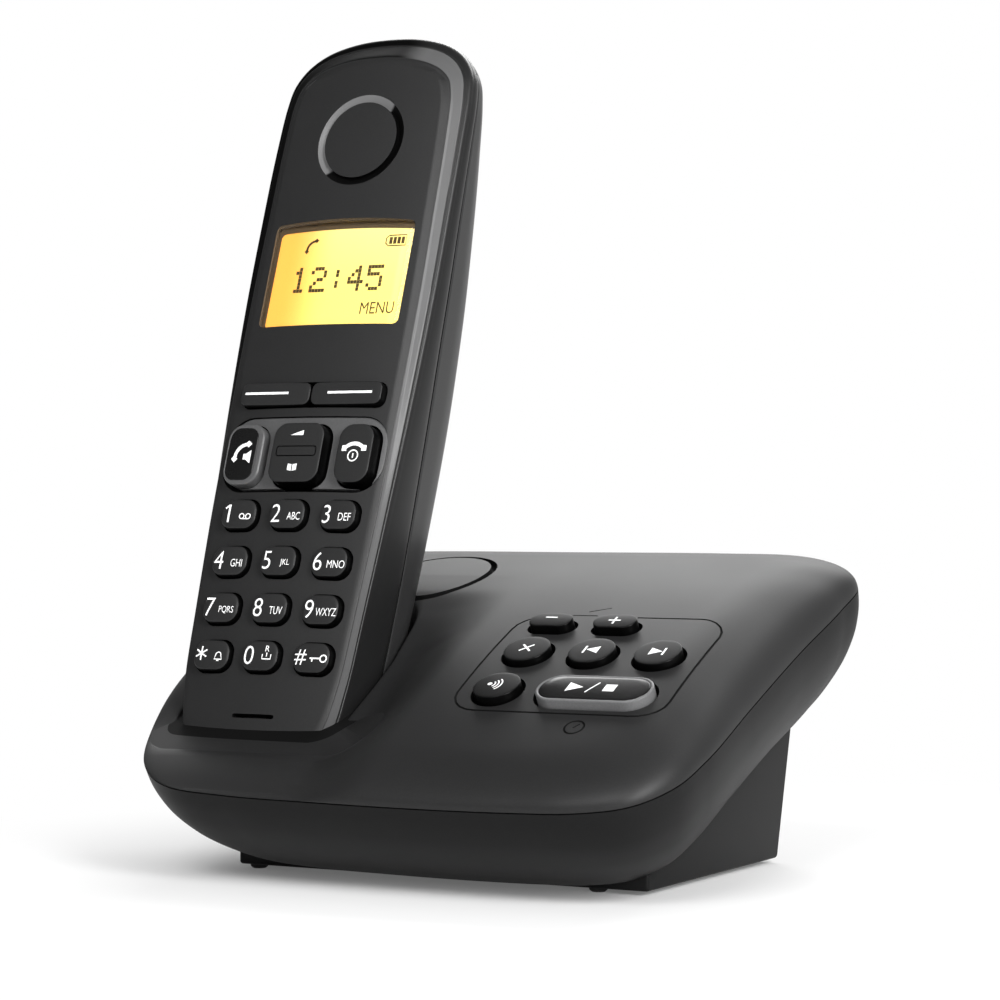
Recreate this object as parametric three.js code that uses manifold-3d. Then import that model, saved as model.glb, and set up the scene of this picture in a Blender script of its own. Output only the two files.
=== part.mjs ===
// A cordless telephone with an answering machine in its base.
// Millimetres, +Z up, the front towards -Y, the floor at z = 0.
import * as THREE from 'three';
import { mergeVertices } from 'three/addons/utils/BufferGeometryUtils.js';
import Module from 'manifold-3d';

const wasm = await Module();
wasm.setup();

// Angles of the working planes: body and panel from the floor, handset from upright.
const body_tilt_degrees = 22.5;
const panel_tilt_degrees = 27.5;
const handset_lean_degrees = 19.4;

// Clearances and overruns.
const gap = 0.3;
const key_gap = 0.35;
const button_gap = 0.7;
const pocket_gap = 0.8;
const overrun = 0.5;

// Base shells, in the plane of the body, around the middle of the seam.
const base_width = 134;
const base_depth = 110;
const base_outline_shares = [
  [-0.2067, -0.4964], [-0.0575, -0.5036], [0.1067, -0.5064], [0.2709, -0.5018],
  [0.3679, -0.4909], [0.4396, -0.4582], [0.4813, -0.3864], [0.4948, -0.2818],
  [0.4948, -0.0818], [0.497, 0.1455], [0.505, 0.335], [0.5, 0.436],
  [0.45, 0.488], [0.325, 0.5], [0.0022, 0.4964], [-0.2813, 0.4909],
  [-0.4007, 0.4691], [-0.4679, 0.4], [-0.4948, 0.2818], [-0.4993, 0.0727],
  [-0.4873, -0.1182], [-0.4485, -0.2727], [-0.3888, -0.4055], [-0.3142, -0.4745],
];
const seam_height = 39.4;
const seam_drop = 6;
const base_wall = 2.2;
const crown_height = 11.7;
const crown_place = 5;
const crown_radius = 240;
const edge_share = 0.23;
const edge_power = 2.2;
const base_ring_shares = [0, 0.008, 0.028, 0.065, 0.12, 0.2, 0.32, 0.48, 0.66, 0.86];
const inner_ring_shares = [0, 0.02, 0.07, 0.15, 0.27, 0.45, 0.72];

// The top sinks round the cradle: share of the base depth against share of dish_depth.
const dish_depth = 11;
const dish_shares = [
  [-0.518, 0.4], [-0.464, 0.42], [-0.373, 0.58], [-0.255, 1], [-0.155, 0.87], [-0.082, 0.78],
  [-0.018, 0.67], [0.027, 0.51], [0.1, 0.24], [0.173, 0.04], [0.245, 0],
];
const dish_right_reach_share = 0.17164;
const dish_right_reach = dish_right_reach_share * base_width;
const dish_left_reach = 14;
const dish_left_fade = 16;
const dish_left_share = 0.62;

// Lower shell: share of bowl_depth against share of the full draw.
const bowl_depth = 27;
const bowl_draw_share = 0.245;
const bowl_focus_share = 0.3;
const bowl_shares = [
  [0, 0], [0.1, 0.015], [0.28, 0.085], [0.5, 0.25], [0.74, 0.53], [0.93, 0.83], [1, 1],
];
const inner_bowl_shares = [[0, 0], [0.2, 0.05], [0.5, 0.25], [1, 1]];
const underside_height = 0.9;
const wedge_width_share = 0.69701;
const wedge_width = wedge_width_share * base_width;
const wedge_across_share = 0.02239;
const wedge_across = wedge_across_share * base_width;
const wedge_front_share = -0.17818;
const wedge_front = wedge_front_share * base_depth;
const wedge_depth_share = 0.56545;
const wedge_depth = wedge_depth_share * base_depth;
const wedge_front_height = 3.4;
const wedge_rise = 34.4;
const wedge_overhang = 9.4;
const wedge_inset = 1.5;

// Feet and screws on the underside.
const peg_spacing_share = 0.58284;
const peg_spacing = peg_spacing_share * base_width;
const peg_offset = -1.45;
const peg_place_share = -0.15182;
const peg_place = peg_place_share * base_depth;
const peg_radius = 2;
const peg_tip_radius = 1.5;
const peg_height = 2.5;
const pad_spacing_share = 0.58209;
const pad_spacing = pad_spacing_share * base_width;
const pad_place_share = 0.30909;
const pad_place = pad_place_share * base_depth;
const pad_radius = 4.5;
const pad_height = 1.5;
const screw_spacing_share = 0.41791;
const screw_spacing = screw_spacing_share * base_width;
const screw_place_share = 0.03636;
const screw_place = screw_place_share * base_depth;
const screw_radius = 2.6;
const screw_height = 1.8;
const screw_depth = 3.4;
const screw_boss_radius = 4.6;
const screw_boss_height = 6;
const screw_slot_width = 0.7;
const screw_slot_depth = 0.6;

// Button panel, around its own middle.
const panel_across_share = 0.27612;
const panel_across = panel_across_share * base_width;
const panel_up_share = -0.14909;
const panel_up = panel_up_share * base_depth;
const panel_width_share = 0.34552;
const panel_width = panel_width_share * base_width;
const panel_depth_share = 0.33545;
const panel_depth = panel_depth_share * base_depth;
const panel_corner = 6;
const panel_line_width = 0.5;
const panel_line_depth = 0.5;
const button_pitch_share = 0.30799;
const button_pitch = button_pitch_share * panel_width;
const button_column_offset_share = -0.01836;
const button_column_offset = button_column_offset_share * panel_width;
const button_row_shares = [0.4038, 0.08943, -0.27371];
const button_row_places = button_row_shares.map((share) => share * panel_depth);
const button_rise = 2.6;
const round_button_width = 9.3;
const volume_button_width = 8.6;
const volume_button_height = 5.6;
const play_button_width = 21.6;
const play_button_height = 9.4;
const play_ring_width = 1;
const play_ring_rise = 1.7;
const button_corner_share = 0.49;
const button_flange = 0.9;
const flange_height = 0.8;
const button_room = 0.9;
const panel_sag = 1.75;
const mat_margin = 3.5;
const mat_height = 1;
const board_height = 1.6;
const board_margin = 1.5;

// Loudspeaker of the answering machine and its disc.
const disc_offset = 17.5;
const disc_up = 26.5;
const disc_radius = 11;
const disc_line_width = 0.9;
const disc_line_depth = 1;
const speaker_radius = 10;
const speaker_height = 5;

// Sockets in the rear face of the wedge, measured from its middle and foot.
const power_socket_across = -16;
const line_socket_across = 10;
const socket_up = 13;
const socket_width = 11;
const socket_height = 9;
const socket_length = 12;
const socket_hole_depth = 9;
const power_hole_width = 6;
const power_hole_height = 6;
const line_hole_width = 8;
const line_hole_height = 6;

// Handset, from its bottom end up along its face; its middle line is the zero across.
const cradle_margin = 29.3;
const cradle_across = cradle_margin - base_width / 2;
const disc_across = cradle_across + disc_offset;
const dish_overlap = 3.45;
const dish_right_end = panel_across - panel_width / 2 - cradle_across + dish_overlap;
const dish_right_fade = dish_right_end - dish_right_reach;
const handset_foot_place = -28.4;
const handset_foot_height = 19.9;
const handset_length = 168;
const handset_width = 47.7;
const handset_depth = 24;
const front_depth = 15.1;
const chamfer_width = 3.6;
const shoulder_depth = 4.4;
const face_radius = 181;
const back_round = 8;
const handset_wall = 1.8;
const band_bulge = 0.25;
const handset_half_shares = [
  [0, 0], [0.357, 0.003], [0.613, 0.0202], [0.76, 0.0595], [0.824, 0.119], [0.861, 0.208],
  [0.908, 0.321], [0.964, 0.476], [0.996, 0.625], [1, 0.744], [0.996, 0.845], [0.981, 0.907],
  [0.945, 0.9375], [0.832, 0.9637], [0.643, 0.9833], [0.349, 0.9961], [0, 1],
];
const spine_shares = [0.11, 0.872];
const chamfer_shares = [
  [0, 0.6], [0.075, 0.42], [0.1435, 0.28], [0.304, 0.42], [0.488, 0.69], [0.7176, 0.86],
  [0.89, 1], [1, 1.95],
];
const shoulder_shares = [[0, 0.77], [0.1435, 0.73], [0.488, 0.86], [0.775, 1], [1, 1.22]];
const seam_shares = [
  [0, 0.9], [0.06, 0.95], [0.17, 1], [0.25, 0.96], [0.327, 0.887], [0.48, 0.718],
  [0.596, 0.605], [0.7155, 0.53], [0.8, 0.487], [0.88, 0.465], [1, 0.46],
];
const back_shares = [
  [0, 0.72], [0.04, 0.896], [0.109, 0.98], [0.2, 1], [0.3, 0.99], [0.46, 0.942],
  [0.62, 0.831], [0.76, 0.68], [0.87, 0.52], [0.94, 0.42], [1, 0.345],
];
const back_ring_shares = [[0, 0], [0.4, 0.006], [0.7, 0.05], [0.86, 0.18], [0.95, 0.42], [1, 1]];

// Cradle pocket.
const cup_wall = 1.6;
const cup_lead = 0.6;
const cup_shares = [0, 0.005, 0.018, 0.055, 0.115, 0.2, 0.37];
const cup_front_corner = 3;
const cup_back_corner = 4.5;

// Handset keys.
const key_row_place_share = 0.14881;
const key_row_place = key_row_place_share * handset_length;
const key_column_pitch = 12.09;
const key_row_pitch_share = 0.0609;
const key_row_pitch = key_row_pitch_share * handset_length;
const digit_key_width = 9;
const digit_key_height_share = 0.04167;
const digit_key_height = digit_key_height_share * handset_length;
const digit_key_corner = 2.5;
const digit_key_rise = 1.6;
const soft_key_across = 8.9;
const soft_key_place_share = 0.50297;
const soft_key_place = soft_key_place_share * handset_length;
const soft_key_width = 16.7;
const soft_key_height_share = 0.02976;
const soft_key_height = soft_key_height_share * handset_length;
const soft_key_corner = 1.7;
const call_key_across = 14;
const call_key_place_share = 0.42441;
const call_key_place = call_key_place_share * handset_length;
const call_key_width = 8.2;
const call_key_height_share = 0.07738;
const call_key_height = call_key_height_share * handset_length;
const call_key_corner = 3.2;
const call_key_rise = 2.2;
const talk_rim_width = 1.3;
const talk_rim_rise = 1.8;
const nav_width = 12.4;
const nav_height_share = 0.08928;
const nav_height = nav_height_share * handset_length;
const nav_corner = 3;
const nav_rise = 2.4;
const plate_width = 40.4;
const plate_height_share = 0.10357;
const plate_height = plate_height_share * handset_length;
const plate_corner = 5;
const plate_thickness = 0.8;
const key_flange = 0.5;
const key_flange_height = 0.7;
const key_foot_depth = 2.9;

// Handset window, earpiece and microphone.
const window_width = 34.6;
const window_place_share = 0.58631;
const window_place = window_place_share * handset_length;
const window_height_share = 0.14048;
const window_height = window_height_share * handset_length;
const window_arch = 0.8;
const window_corner = 1.2;
const window_thickness = 0.9;
const window_ledge = 1;
const display_thickness = 2.1;
const display_margin = 1.2;
const earpiece_place_share = 0.84167;
const earpiece_place = earpiece_place_share * handset_length;
const earpiece_radius = 10.4;
const earpiece_line_width = 1;
const earpiece_line_depth = 0.9;
const earpiece_height = 3.4;
const earpiece_body_radius = 8.4;
const mic_place_share = 0.07143;
const mic_place = mic_place_share * handset_length;
const mic_slot_length = 10;
const mic_slot_width = 1.1;
const mic_radius = 2.6;
const mic_height = 2;

// Inside the handset.
const handset_board_width = 33;
const handset_board_start_share = 0.10714;
const handset_board_start = handset_board_start_share * handset_length;
const handset_board_end_share = 0.76191;
const handset_board_end = handset_board_end_share * handset_length;
const handset_mat_width = 35;
const handset_mat_start_share = 0.11607;
const handset_mat_start = handset_mat_start_share * handset_length;
const handset_mat_end_share = 0.52976;
const handset_mat_end = handset_mat_end_share * handset_length;
const key_room = 0.75;
const battery_radius = 5.1;
const battery_length_share = 0.26191;
const battery_length = battery_length_share * handset_length;
const battery_nub_radius = 1.9;
const battery_nub_length = 0.8;
const battery_start_share = 0.30357;
const battery_start = battery_start_share * handset_length;
const bay_wall = 0.9;
const contact_thickness = 0.5;
const door_width = 29;
const door_length_share = 0.32143;
const door_length = door_length_share * handset_length;
const door_corner = 4;
const door_thickness = 1.5;
const ledge_reach = 1.8;
const ringer_place_share = 0.73809;
const ringer_place = ringer_place_share * handset_length;
const ringer_radius = 8;
const ringer_height = 3.2;
const ringer_slot_length = 8;
const ringer_slot_width = 0.9;
const ringer_slot_pitch = 2.4;

// Charging contacts between the cradle floor and the foot of the handset.
const charge_spacing = 12;
const charge_depth = 9;
const charge_pad_width = 4;
const charge_pad_height = 4.4;
const charge_pad_length = 1.4;
const pad_sink = 0.9;
const charge_pin_width = 2.2;
const charge_pin_length = 1.4;

const base_outline_count = 48;
const handset_outline_count = 44;
const circle_count = 16;
const disc_count = 24;
const corner_steps = 2;
const needle_height = 0.004;
const needle_passes = 4;
const rad = THREE.MathUtils.degToRad;

// A working plane as a matrix: across, up the plane and out of it, from a point.
function plane(tilt, origin) {
  const across = new THREE.Vector3(1, 0, 0);
  const up = new THREE.Vector3(0, Math.cos(tilt), Math.sin(tilt));
  const out = new THREE.Vector3(0, -Math.sin(tilt), Math.cos(tilt));
  return new THREE.Matrix4().makeBasis(across, up, out).setPosition(...origin);
}

function solid(geometry) {
  const bare = geometry.clone();
  bare.deleteAttribute('normal');
  bare.deleteAttribute('uv');
  const merged = mergeVertices(bare, 1e-4);
  return new wasm.Manifold(new wasm.Mesh({
    numProp: 3,
    vertProperties: new Float32Array(merged.attributes.position.array),
    triVerts: new Uint32Array(merged.index.array),
  }));
}

function geometryOf(shape) {
  const mesh = shape.getMesh();
  const geometry = new THREE.BufferGeometry();
  geometry.setAttribute('position', new THREE.BufferAttribute(new Float32Array(mesh.vertProperties), 3));
  geometry.setIndex(new THREE.BufferAttribute(new Uint32Array(mesh.triVerts), 1));
  return geometry;
}

// A closed mesh from points and triangles, turned so that its faces point out.
function meshGeometry(points, triangles) {
  let volume = 0;
  for (const [a, b, c] of triangles) {
    volume += points[a].dot(new THREE.Vector3().crossVectors(points[b], points[c]));
  }
  const turned = volume < 0 ? triangles.map(([a, b, c]) => [a, c, b]) : triangles;
  const geometry = new THREE.BufferGeometry();
  geometry.setAttribute('position', new THREE.Float32BufferAttribute(points.flatMap((p) => p.toArray()), 3));
  geometry.setIndex(turned.flat());
  const merged = mergeVertices(geometry, 1e-4);
  const index = [];
  for (let k = 0; k < merged.index.count; k += 3) {
    const [a, b, c] = [0, 1, 2].map((step) => merged.index.getX(k + step));
    if (a !== b && b !== c && a !== c) {
      index.push(a, b, c);
    }
  }
  merged.setIndex(index);
  return merged;
}

// Skins a stack of rings of equal count. Capped stacks close each end on its middle, a folded
// one ends in a ring that already lies double on a line, and a looped one joins its two ends.
function skin(stack, ends = 'capped') {
  const count = stack[0].length;
  const points = stack.flat().map((p) => new THREE.Vector3(...p));
  const triangles = [];
  const bands = ends === 'looped' ? stack.length : stack.length - 1;
  for (let k = 0; k < bands; k += 1) {
    const a = k * count;
    const b = ((k + 1) % stack.length) * count;
    for (let i = 0; i < count; i += 1) {
      const j = (i + 1) % count;
      triangles.push([a + i, a + j, b + j], [a + i, b + j, b + i]);
    }
  }
  const caps = { capped: [[0, true], [stack.length - 1, false]], folded: [[0, true]], looped: [] };
  for (const [k, turned] of caps[ends]) {
    const hub = points.length;
    const middle = new THREE.Vector3();
    stack[k].forEach((p) => middle.add(new THREE.Vector3(...p)));
    points.push(middle.divideScalar(count));
    for (let i = 0; i < count; i += 1) {
      const first = k * count + i;
      const second = k * count + (i + 1) % count;
      triangles.push(turned ? [hub, second, first] : [hub, first, second]);
    }
  }
  return meshGeometry(points, triangles);
}

// Value at a place in a table of rows (place, value).
function reading(rows, place) {
  const last = rows[rows.length - 1];
  if (place <= rows[0][0]) {
    return rows[0][1];
  }
  for (let k = 0; k + 1 < rows.length; k += 1) {
    const [start, first] = rows[k];
    const [end, second] = rows[k + 1];
    if (place <= end) {
      return first + (second - first) * (place - start) / (end - start);
    }
  }
  return last[1];
}

function smooth(share) {
  const t = Math.min(1, Math.max(0, share));
  return t * t * (3 - 2 * t);
}

function closedOutline(points, count) {
  const places = points.map(([x, y]) => new THREE.Vector3(x, y, 0));
  const curve = new THREE.CatmullRomCurve3(places, true, 'centripetal');
  curve.arcLengthDivisions = 1200;
  return curve.getSpacedPoints(count).slice(0, count).map((p) => [p.x, p.y]);
}

// Moves the points of a counter-clockwise outline inwards along their normals.
function inset(outline, reachAt) {
  const count = outline.length;
  return outline.map(([x, y], i) => {
    const before = outline[(i + count - 1) % count];
    const after = outline[(i + 1) % count];
    const step = new THREE.Vector2(after[0] - before[0], after[1] - before[1]).normalize();
    const reach = typeof reachAt === 'number' ? reachAt : reachAt(x, y);
    return [x - step.y * reach, y + step.x * reach];
  });
}

function drawn(outline, centre, share) {
  return outline.map(([x, y]) => [
    x + (centre[0] - x) * share,
    y + (centre[1] - y) * share,
  ]);
}

function roundedOutline(width, height, corner, middle = [0, 0]) {
  const points = [];
  for (const [sx, sy, start] of [[1, -1, -90], [1, 1, 0], [-1, 1, 90], [-1, -1, 180]]) {
    for (let k = 0; k <= corner_steps; k += 1) {
      const angle = rad(start + 90 * k / corner_steps);
      points.push([
        middle[0] + sx * (width / 2 - corner) + corner * Math.cos(angle),
        middle[1] + sy * (height / 2 - corner) + corner * Math.sin(angle),
      ]);
    }
  }
  return points;
}

function circleOutline(radius, middle = [0, 0], count = circle_count) {
  return Array.from({ length: count }, (_, k) => {
    const angle = 2 * Math.PI * k / count;
    return [middle[0] + radius * Math.cos(angle), middle[1] + radius * Math.sin(angle)];
  });
}

function level(outline, z) {
  return outline.map(([x, y]) => [x, y, z]);
}

function prism(outline, low, high) {
  return skin([level(outline, low), level(outline, high)]);
}

function box(size, middle) {
  return new THREE.BoxGeometry(...size).translate(...middle);
}

function placed(geometry, frame) {
  return geometry.clone().applyMatrix4(frame);
}

function placedSolid(geometry, frame) {
  return solid(placed(geometry, frame));
}

// Base: top of the upper shell above the seam.
const base_outline = closedOutline(
  base_outline_shares.map(([x, y]) => [x * base_width, y * base_depth]),
  base_outline_count,
);
const base_centre = [0, 0];
const bowl_centre = [0, base_depth * bowl_focus_share];
const body = plane(rad(body_tilt_degrees), [0, 0, seam_height]);

function crownLevel(y) {
  return crown_height - (y - crown_place) ** 2 / (2 * crown_radius);
}

function dishLevel(x, y) {
  const across = x - cradle_across;
  const right = 1 - smooth((across - dish_right_reach) / dish_right_fade);
  const left = 1 - (1 - dish_left_share) * smooth((-across - dish_left_reach) / dish_left_fade);
  return dish_depth * reading(dish_shares, y / base_depth) * right * left;
}

function topLevel(x, y, share) {
  const t = Math.min(1, share / edge_share);
  return (crownLevel(y) - dishLevel(x, y)) * (1 - (1 - t) ** edge_power) ** (1 / edge_power);
}

// The upper shell as a full body, drawn in by a margin, with its floor at a level.
function upperBody(margin, floor) {
  const rim = inset(base_outline, margin);
  const stack = [level(rim, floor)];
  const shares = margin > 0 ? inner_ring_shares : base_ring_shares;
  for (const share of shares.slice(floor < 0 || margin > 0 ? 0 : 1)) {
    const ring = drawn(rim, base_centre, share);
    stack.push(ring.map(([x, y]) => [x, y, Math.max(floor, topLevel(x, y, share) - margin)]));
  }
  return placedSolid(skin(stack), body);
}

// The bowl below the seam.
function bowlBody(margin) {
  const rim = inset(base_outline, margin);
  const stack = margin > 0 ? [level(rim, overrun)] : [];
  for (const [down, draw] of margin > 0 ? inner_bowl_shares : bowl_shares) {
    const ring = drawn(rim, bowl_centre, draw * bowl_draw_share);
    stack.push(level(ring, -gap - down * (bowl_depth - margin)));
  }
  return placedSolid(skin(stack), body);
}

// The wedge under the bowl: a side profile swept across.
const wedge_points = [
  [wedge_front, underside_height],
  [wedge_front + wedge_depth, underside_height],
  [wedge_front + wedge_depth + wedge_overhang, underside_height + wedge_rise],
  [wedge_front, underside_height + wedge_front_height],
];

function wedgeBody(margin) {
  const count = wedge_points.length;
  const profile = wedge_points.map(([y, z], k) => {
    const before = wedge_points[(k + count - 1) % count];
    const after = wedge_points[(k + 1) % count];
    const first = new THREE.Vector2(y - before[0], z - before[1]).normalize();
    const second = new THREE.Vector2(after[0] - y, after[1] - z).normalize();
    const bisector = new THREE.Vector2(-first.y - second.y, first.x + second.x);
    const reach = 2 * margin / bisector.lengthSq();
    return [y + bisector.x * reach, z + bisector.y * reach];
  });
  const half = wedge_width / 2 - margin;
  const ends = [wedge_across - half, wedge_across + half];
  return solid(skin(ends.map((x) => profile.map(([y, z]) => [x, y, z]))));
}

// Handset in its own plane.
const handset = plane(
  rad(90 - handset_lean_degrees),
  [cradle_across, handset_foot_place, handset_foot_height],
);
const half_width = handset_width / 2;
const right_points = handset_half_shares.map(([x, y]) => [x * half_width, y * handset_length]);
const left_points = right_points.slice(1, -1).map(([x, y]) => [-x, y]).reverse();
const handset_half = closedOutline([...right_points, ...left_points], handset_outline_count)
  .slice(1, handset_outline_count / 2);
const handset_outline = [
  [0, 0],
  ...handset_half,
  [0, handset_length],
  ...handset_half.map(([x, y]) => [-x, y]).reverse(),
];

const along = (shares, size) => (y) => size * reading(shares, y / handset_length);
const chamferAt = along(chamfer_shares, chamfer_width);
const shoulderAt = along(shoulder_shares, shoulder_depth);
const seamAt = along(seam_shares, front_depth);
const backAt = along(back_shares, handset_depth);
const faceAt = (x) => -x * x / (2 * face_radius);
const halfWidthAt = (y) => half_width * reading(
  handset_half_shares.slice(0, 9).map(([x, place]) => [place, x]),
  y / handset_length,
);

// Rings that close an outline onto the middle line of the handset.
function spineRings(ring, levelAt, shares) {
  const [low, high] = spine_shares.map((share) => share * handset_length);
  return shares.map((share) => ring.map(([x, y]) => {
    const middle = Math.min(high, Math.max(low, y));
    const across = x * share;
    const up = middle + (y - middle) * share;
    return [across, up, levelAt(across, up)];
  }));
}

function frontBody(margin) {
  const rim = inset(handset_outline, margin);
  const bulge = inset(handset_outline, margin - band_bulge);
  const shoulder = inset(handset_outline, (x, y) => margin + 0.3 * chamferAt(y));
  const edge = inset(handset_outline, (x, y) => 0.7 * margin + 0.86 * chamferAt(y));
  const face = inset(handset_outline, (x, y) => 0.7 * margin + 1.15 * chamferAt(y));
  const sink = margin > 0 ? overrun : -gap / 2;
  return skin([
    rim.map(([x, y]) => [x, y, -seamAt(y) - sink]),
    bulge.map(([x, y]) => [x, y, -(seamAt(y) + shoulderAt(y)) / 2 - margin / 2]),
    rim.map(([x, y]) => [x, y, -shoulderAt(y) - margin]),
    shoulder.map(([x, y]) => [x, y, -0.68 * shoulderAt(y) - margin]),
    edge.map(([x, y]) => [x, y, faceAt(x) - 0.14 * shoulderAt(y) - margin]),
    face.map(([x, y]) => [x, y, faceAt(x) - margin]),
    ...spineRings(face, (x) => faceAt(x) - margin, [0.55, 0]),
  ], 'folded');
}

function backBody(margin) {
  const stack = back_ring_shares.map(([down, draw]) => {
    const ring = inset(handset_outline, margin + draw * back_round);
    return ring.map(([x, y]) => {
      const top = -seamAt(y) + (margin > 0 && down === 0 ? overrun : -gap / 2);
      return [x, y, top + (margin - backAt(y) - top) * down];
    });
  });
  const last = inset(handset_outline, margin + back_round);
  return skin([...stack, ...spineRings(last, (x, y) => margin - backAt(y), [0.5, 0])], 'folded');
}

// The room that the handset fills in the cradle, grown by a margin, open upwards.
function cradleBody(grow) {
  return skin(cup_shares.map((share) => {
    const place = share * handset_length;
    const half = halfWidthAt(place + cup_lead) + grow;
    const depth = backAt(place + cup_lead) + grow;
    const ring = [];
    const corners = [
      [1, -depth, cup_back_corner, -90], [1, grow, cup_front_corner, 0],
      [-1, grow, cup_front_corner, 90], [-1, -depth, cup_back_corner, 180],
    ];
    for (const [side, end, corner, start] of corners) {
      const inward = end > 0 ? -corner : corner;
      for (let k = 0; k <= corner_steps; k += 1) {
        const angle = rad(start + 90 * k / corner_steps);
        const across = side * (half - corner) + corner * Math.cos(angle);
        ring.push([across, place - grow, end + inward + corner * Math.sin(angle)]);
      }
    }
    return ring;
  }));
}

// Share of the way from the edge of the base to its middle, for a point of its plan.
const edge_angles = base_outline.map(([x, y]) => [Math.atan2(y, x), Math.hypot(x, y)]);
edge_angles.sort((a, b) => a[0] - b[0]);

function surfaceAt(x, y) {
  const reach = reading(edge_angles, Math.atan2(y, x));
  return topLevel(x, y, Math.max(0, 1 - Math.hypot(x, y) / reach));
}

// A groove that follows the top of the base between two outlines.
function topGroove(outline, width, depth) {
  const outer = inset(outline, -width / 2);
  const inner = inset(outline, width / 2);
  const wall = (ring, low, high) => placedSolid(skin([
    ring.map(([x, y]) => [x, y, surfaceAt(x, y) - low]),
    ring.map(([x, y]) => [x, y, surfaceAt(x, y) + high]),
  ]), body);
  return wall(outer, depth, overrun).subtract(wall(inner, depth + overrun, 2 * overrun));
}

// A push button or key: flange, stem, rounded edge and domed top.
function keyBody(outline, middle, foot, top, flange) {
  const edge = 0.14 * (top - foot);
  const wide = inset(outline, -flange);
  const stack = [level(outline, foot)];
  if (flange > 0) {
    stack[0] = level(wide, foot);
    stack.push(level(wide, foot + flange_height), level(outline, foot + flange_height));
  }
  stack.push(
    level(outline, top - 2 * edge),
    level(drawn(outline, middle, 0.1), top - 0.5 * edge),
    level(drawn(outline, middle, 0.4), top),
  );
  return skin(stack);
}

// A rim round a key: flange, wall and a small bevel, round a hole.
function rimBody(outline, foot, top, flange, width) {
  const bevel = width / 4;
  const wide = inset(outline, -flange);
  const inner = inset(outline, width);
  return skin([
    level(wide, foot),
    level(wide, foot + flange_height),
    level(outline, foot + flange_height),
    level(outline, top - bevel),
    level(inset(outline, bevel), top),
    level(inner, top),
    level(inner, foot),
  ], 'looped');
}

const finishes = {
  dark_shell: [0x2c2c2d, 0.5, 0],
  black_gloss: [0x101011, 0.2, 0],
  key_black: [0x151516, 0.42, 0],
  grey_plastic: [0x6e6f70, 0.4, 0],
  window_clear: [0xffe07a, 0.1, 0],
  display_yellow: [0xf3c84a, 0.4, 0],
  rubber: [0x1b1b1b, 0.9, 0],
  board_green: [0x245c3a, 0.6, 0],
  metal: [0xb9bcc0, 0.3, 1],
  cell_green: [0x3f7f4d, 0.45, 0],
  speaker_black: [0x1a1a1c, 0.7, 0],
};

const group = new THREE.Group();
group.name = 'answering_machine';
const base_group = new THREE.Group();
base_group.name = 'base_pieces';
const handset_group = new THREE.Group();
handset_group.name = 'handset_pieces';
group.add(base_group, handset_group);

// The body of a cut piece, without the slivers that touching faces can leave.
function mainBody(shape) {
  return shape.decompose().sort((a, b) => b.volume() - a.volume())[0];
}

// Turns the long edge of each needle-thin triangle, so that no face is left without area.
function withoutNeedles(geometry) {
  const points = Array.from({ length: geometry.attributes.position.count }, (_, k) => (
    new THREE.Vector3().fromBufferAttribute(geometry.attributes.position, k)
  ));
  const faces = [];
  for (let k = 0; k < geometry.index.count; k += 3) {
    faces.push([0, 1, 2].map((step) => geometry.index.getX(k + step)));
  }
  const owner = new Map();
  const note = (face) => faces[face].forEach((a, k) => {
    owner.set(`${a} ${faces[face][(k + 1) % 3]}`, face);
  });
  faces.forEach((_, face) => note(face));
  for (let pass = 0; pass < needle_passes; pass += 1) {
    faces.forEach((corners, face) => {
      const sides = corners.map((a, k) => points[a].distanceTo(points[corners[(k + 1) % 3]]));
      const k = sides.indexOf(Math.max(...sides));
      const [a, b, c] = [0, 1, 2].map((step) => corners[(k + step) % 3]);
      const area = new THREE.Triangle(points[a], points[b], points[c]).getArea();
      const other = owner.get(`${b} ${a}`);
      if (2 * area >= needle_height * sides[k] || other === undefined) {
        return;
      }
      const d = faces[other].find((corner) => corner !== a && corner !== b);
      if (owner.has(`${c} ${d}`) || owner.has(`${d} ${c}`)) {
        return;
      }
      for (const [from, to] of [[a, b], [b, a]]) {
        owner.delete(`${from} ${to}`);
      }
      faces[face] = [c, a, d];
      faces[other] = [d, b, c];
      note(face);
      note(other);
    });
  }
  geometry.setIndex(faces.flat());
  return geometry;
}

function add(parent, name, shape, finish) {
  const source = shape.getMesh ? withoutNeedles(geometryOf(mainBody(shape))) : shape;
  const geometry = source.index ? source.toNonIndexed() : source.clone();
  geometry.computeVertexNormals();
  const [color, roughness, metalness] = finishes[finish];
  const material = new THREE.MeshStandardMaterial({ color, roughness, metalness });
  material.name = finish;
  const mesh = new THREE.Mesh(geometry, material);
  mesh.name = name;
  parent.add(mesh);
}

// Base buttons.
const panel_origin = new THREE.Vector3(panel_across, panel_up, surfaceAt(panel_across, panel_up));
panel_origin.applyMatrix4(body);
const panel = plane(rad(panel_tilt_degrees), panel_origin.toArray());
const [back_row, middle_row, front_row] = button_row_places;
const [left_column, centre_column, right_column] = [-1, 0, 1].map(
  (step) => button_column_offset + step * button_pitch,
);
const base_buttons = [
  ['button_volume_down', left_column, back_row, volume_button_width, volume_button_height],
  ['button_volume_up', centre_column, back_row, volume_button_width, volume_button_height],
  ['button_delete', left_column, middle_row, round_button_width, round_button_width],
  ['button_previous', centre_column, middle_row, round_button_width, round_button_width],
  ['button_next', right_column, middle_row, round_button_width, round_button_width],
  ['button_paging', left_column, front_row, round_button_width, round_button_width],
];
const flange_top = base_wall + panel_sag;
const button_foot = -flange_top - flange_height;
const mat_top = button_foot - button_room;
const board_top = mat_top - mat_height - gap;
const cut_reach = flange_top + button_rise + panel_line_width;
const panel_cuts = [];
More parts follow.
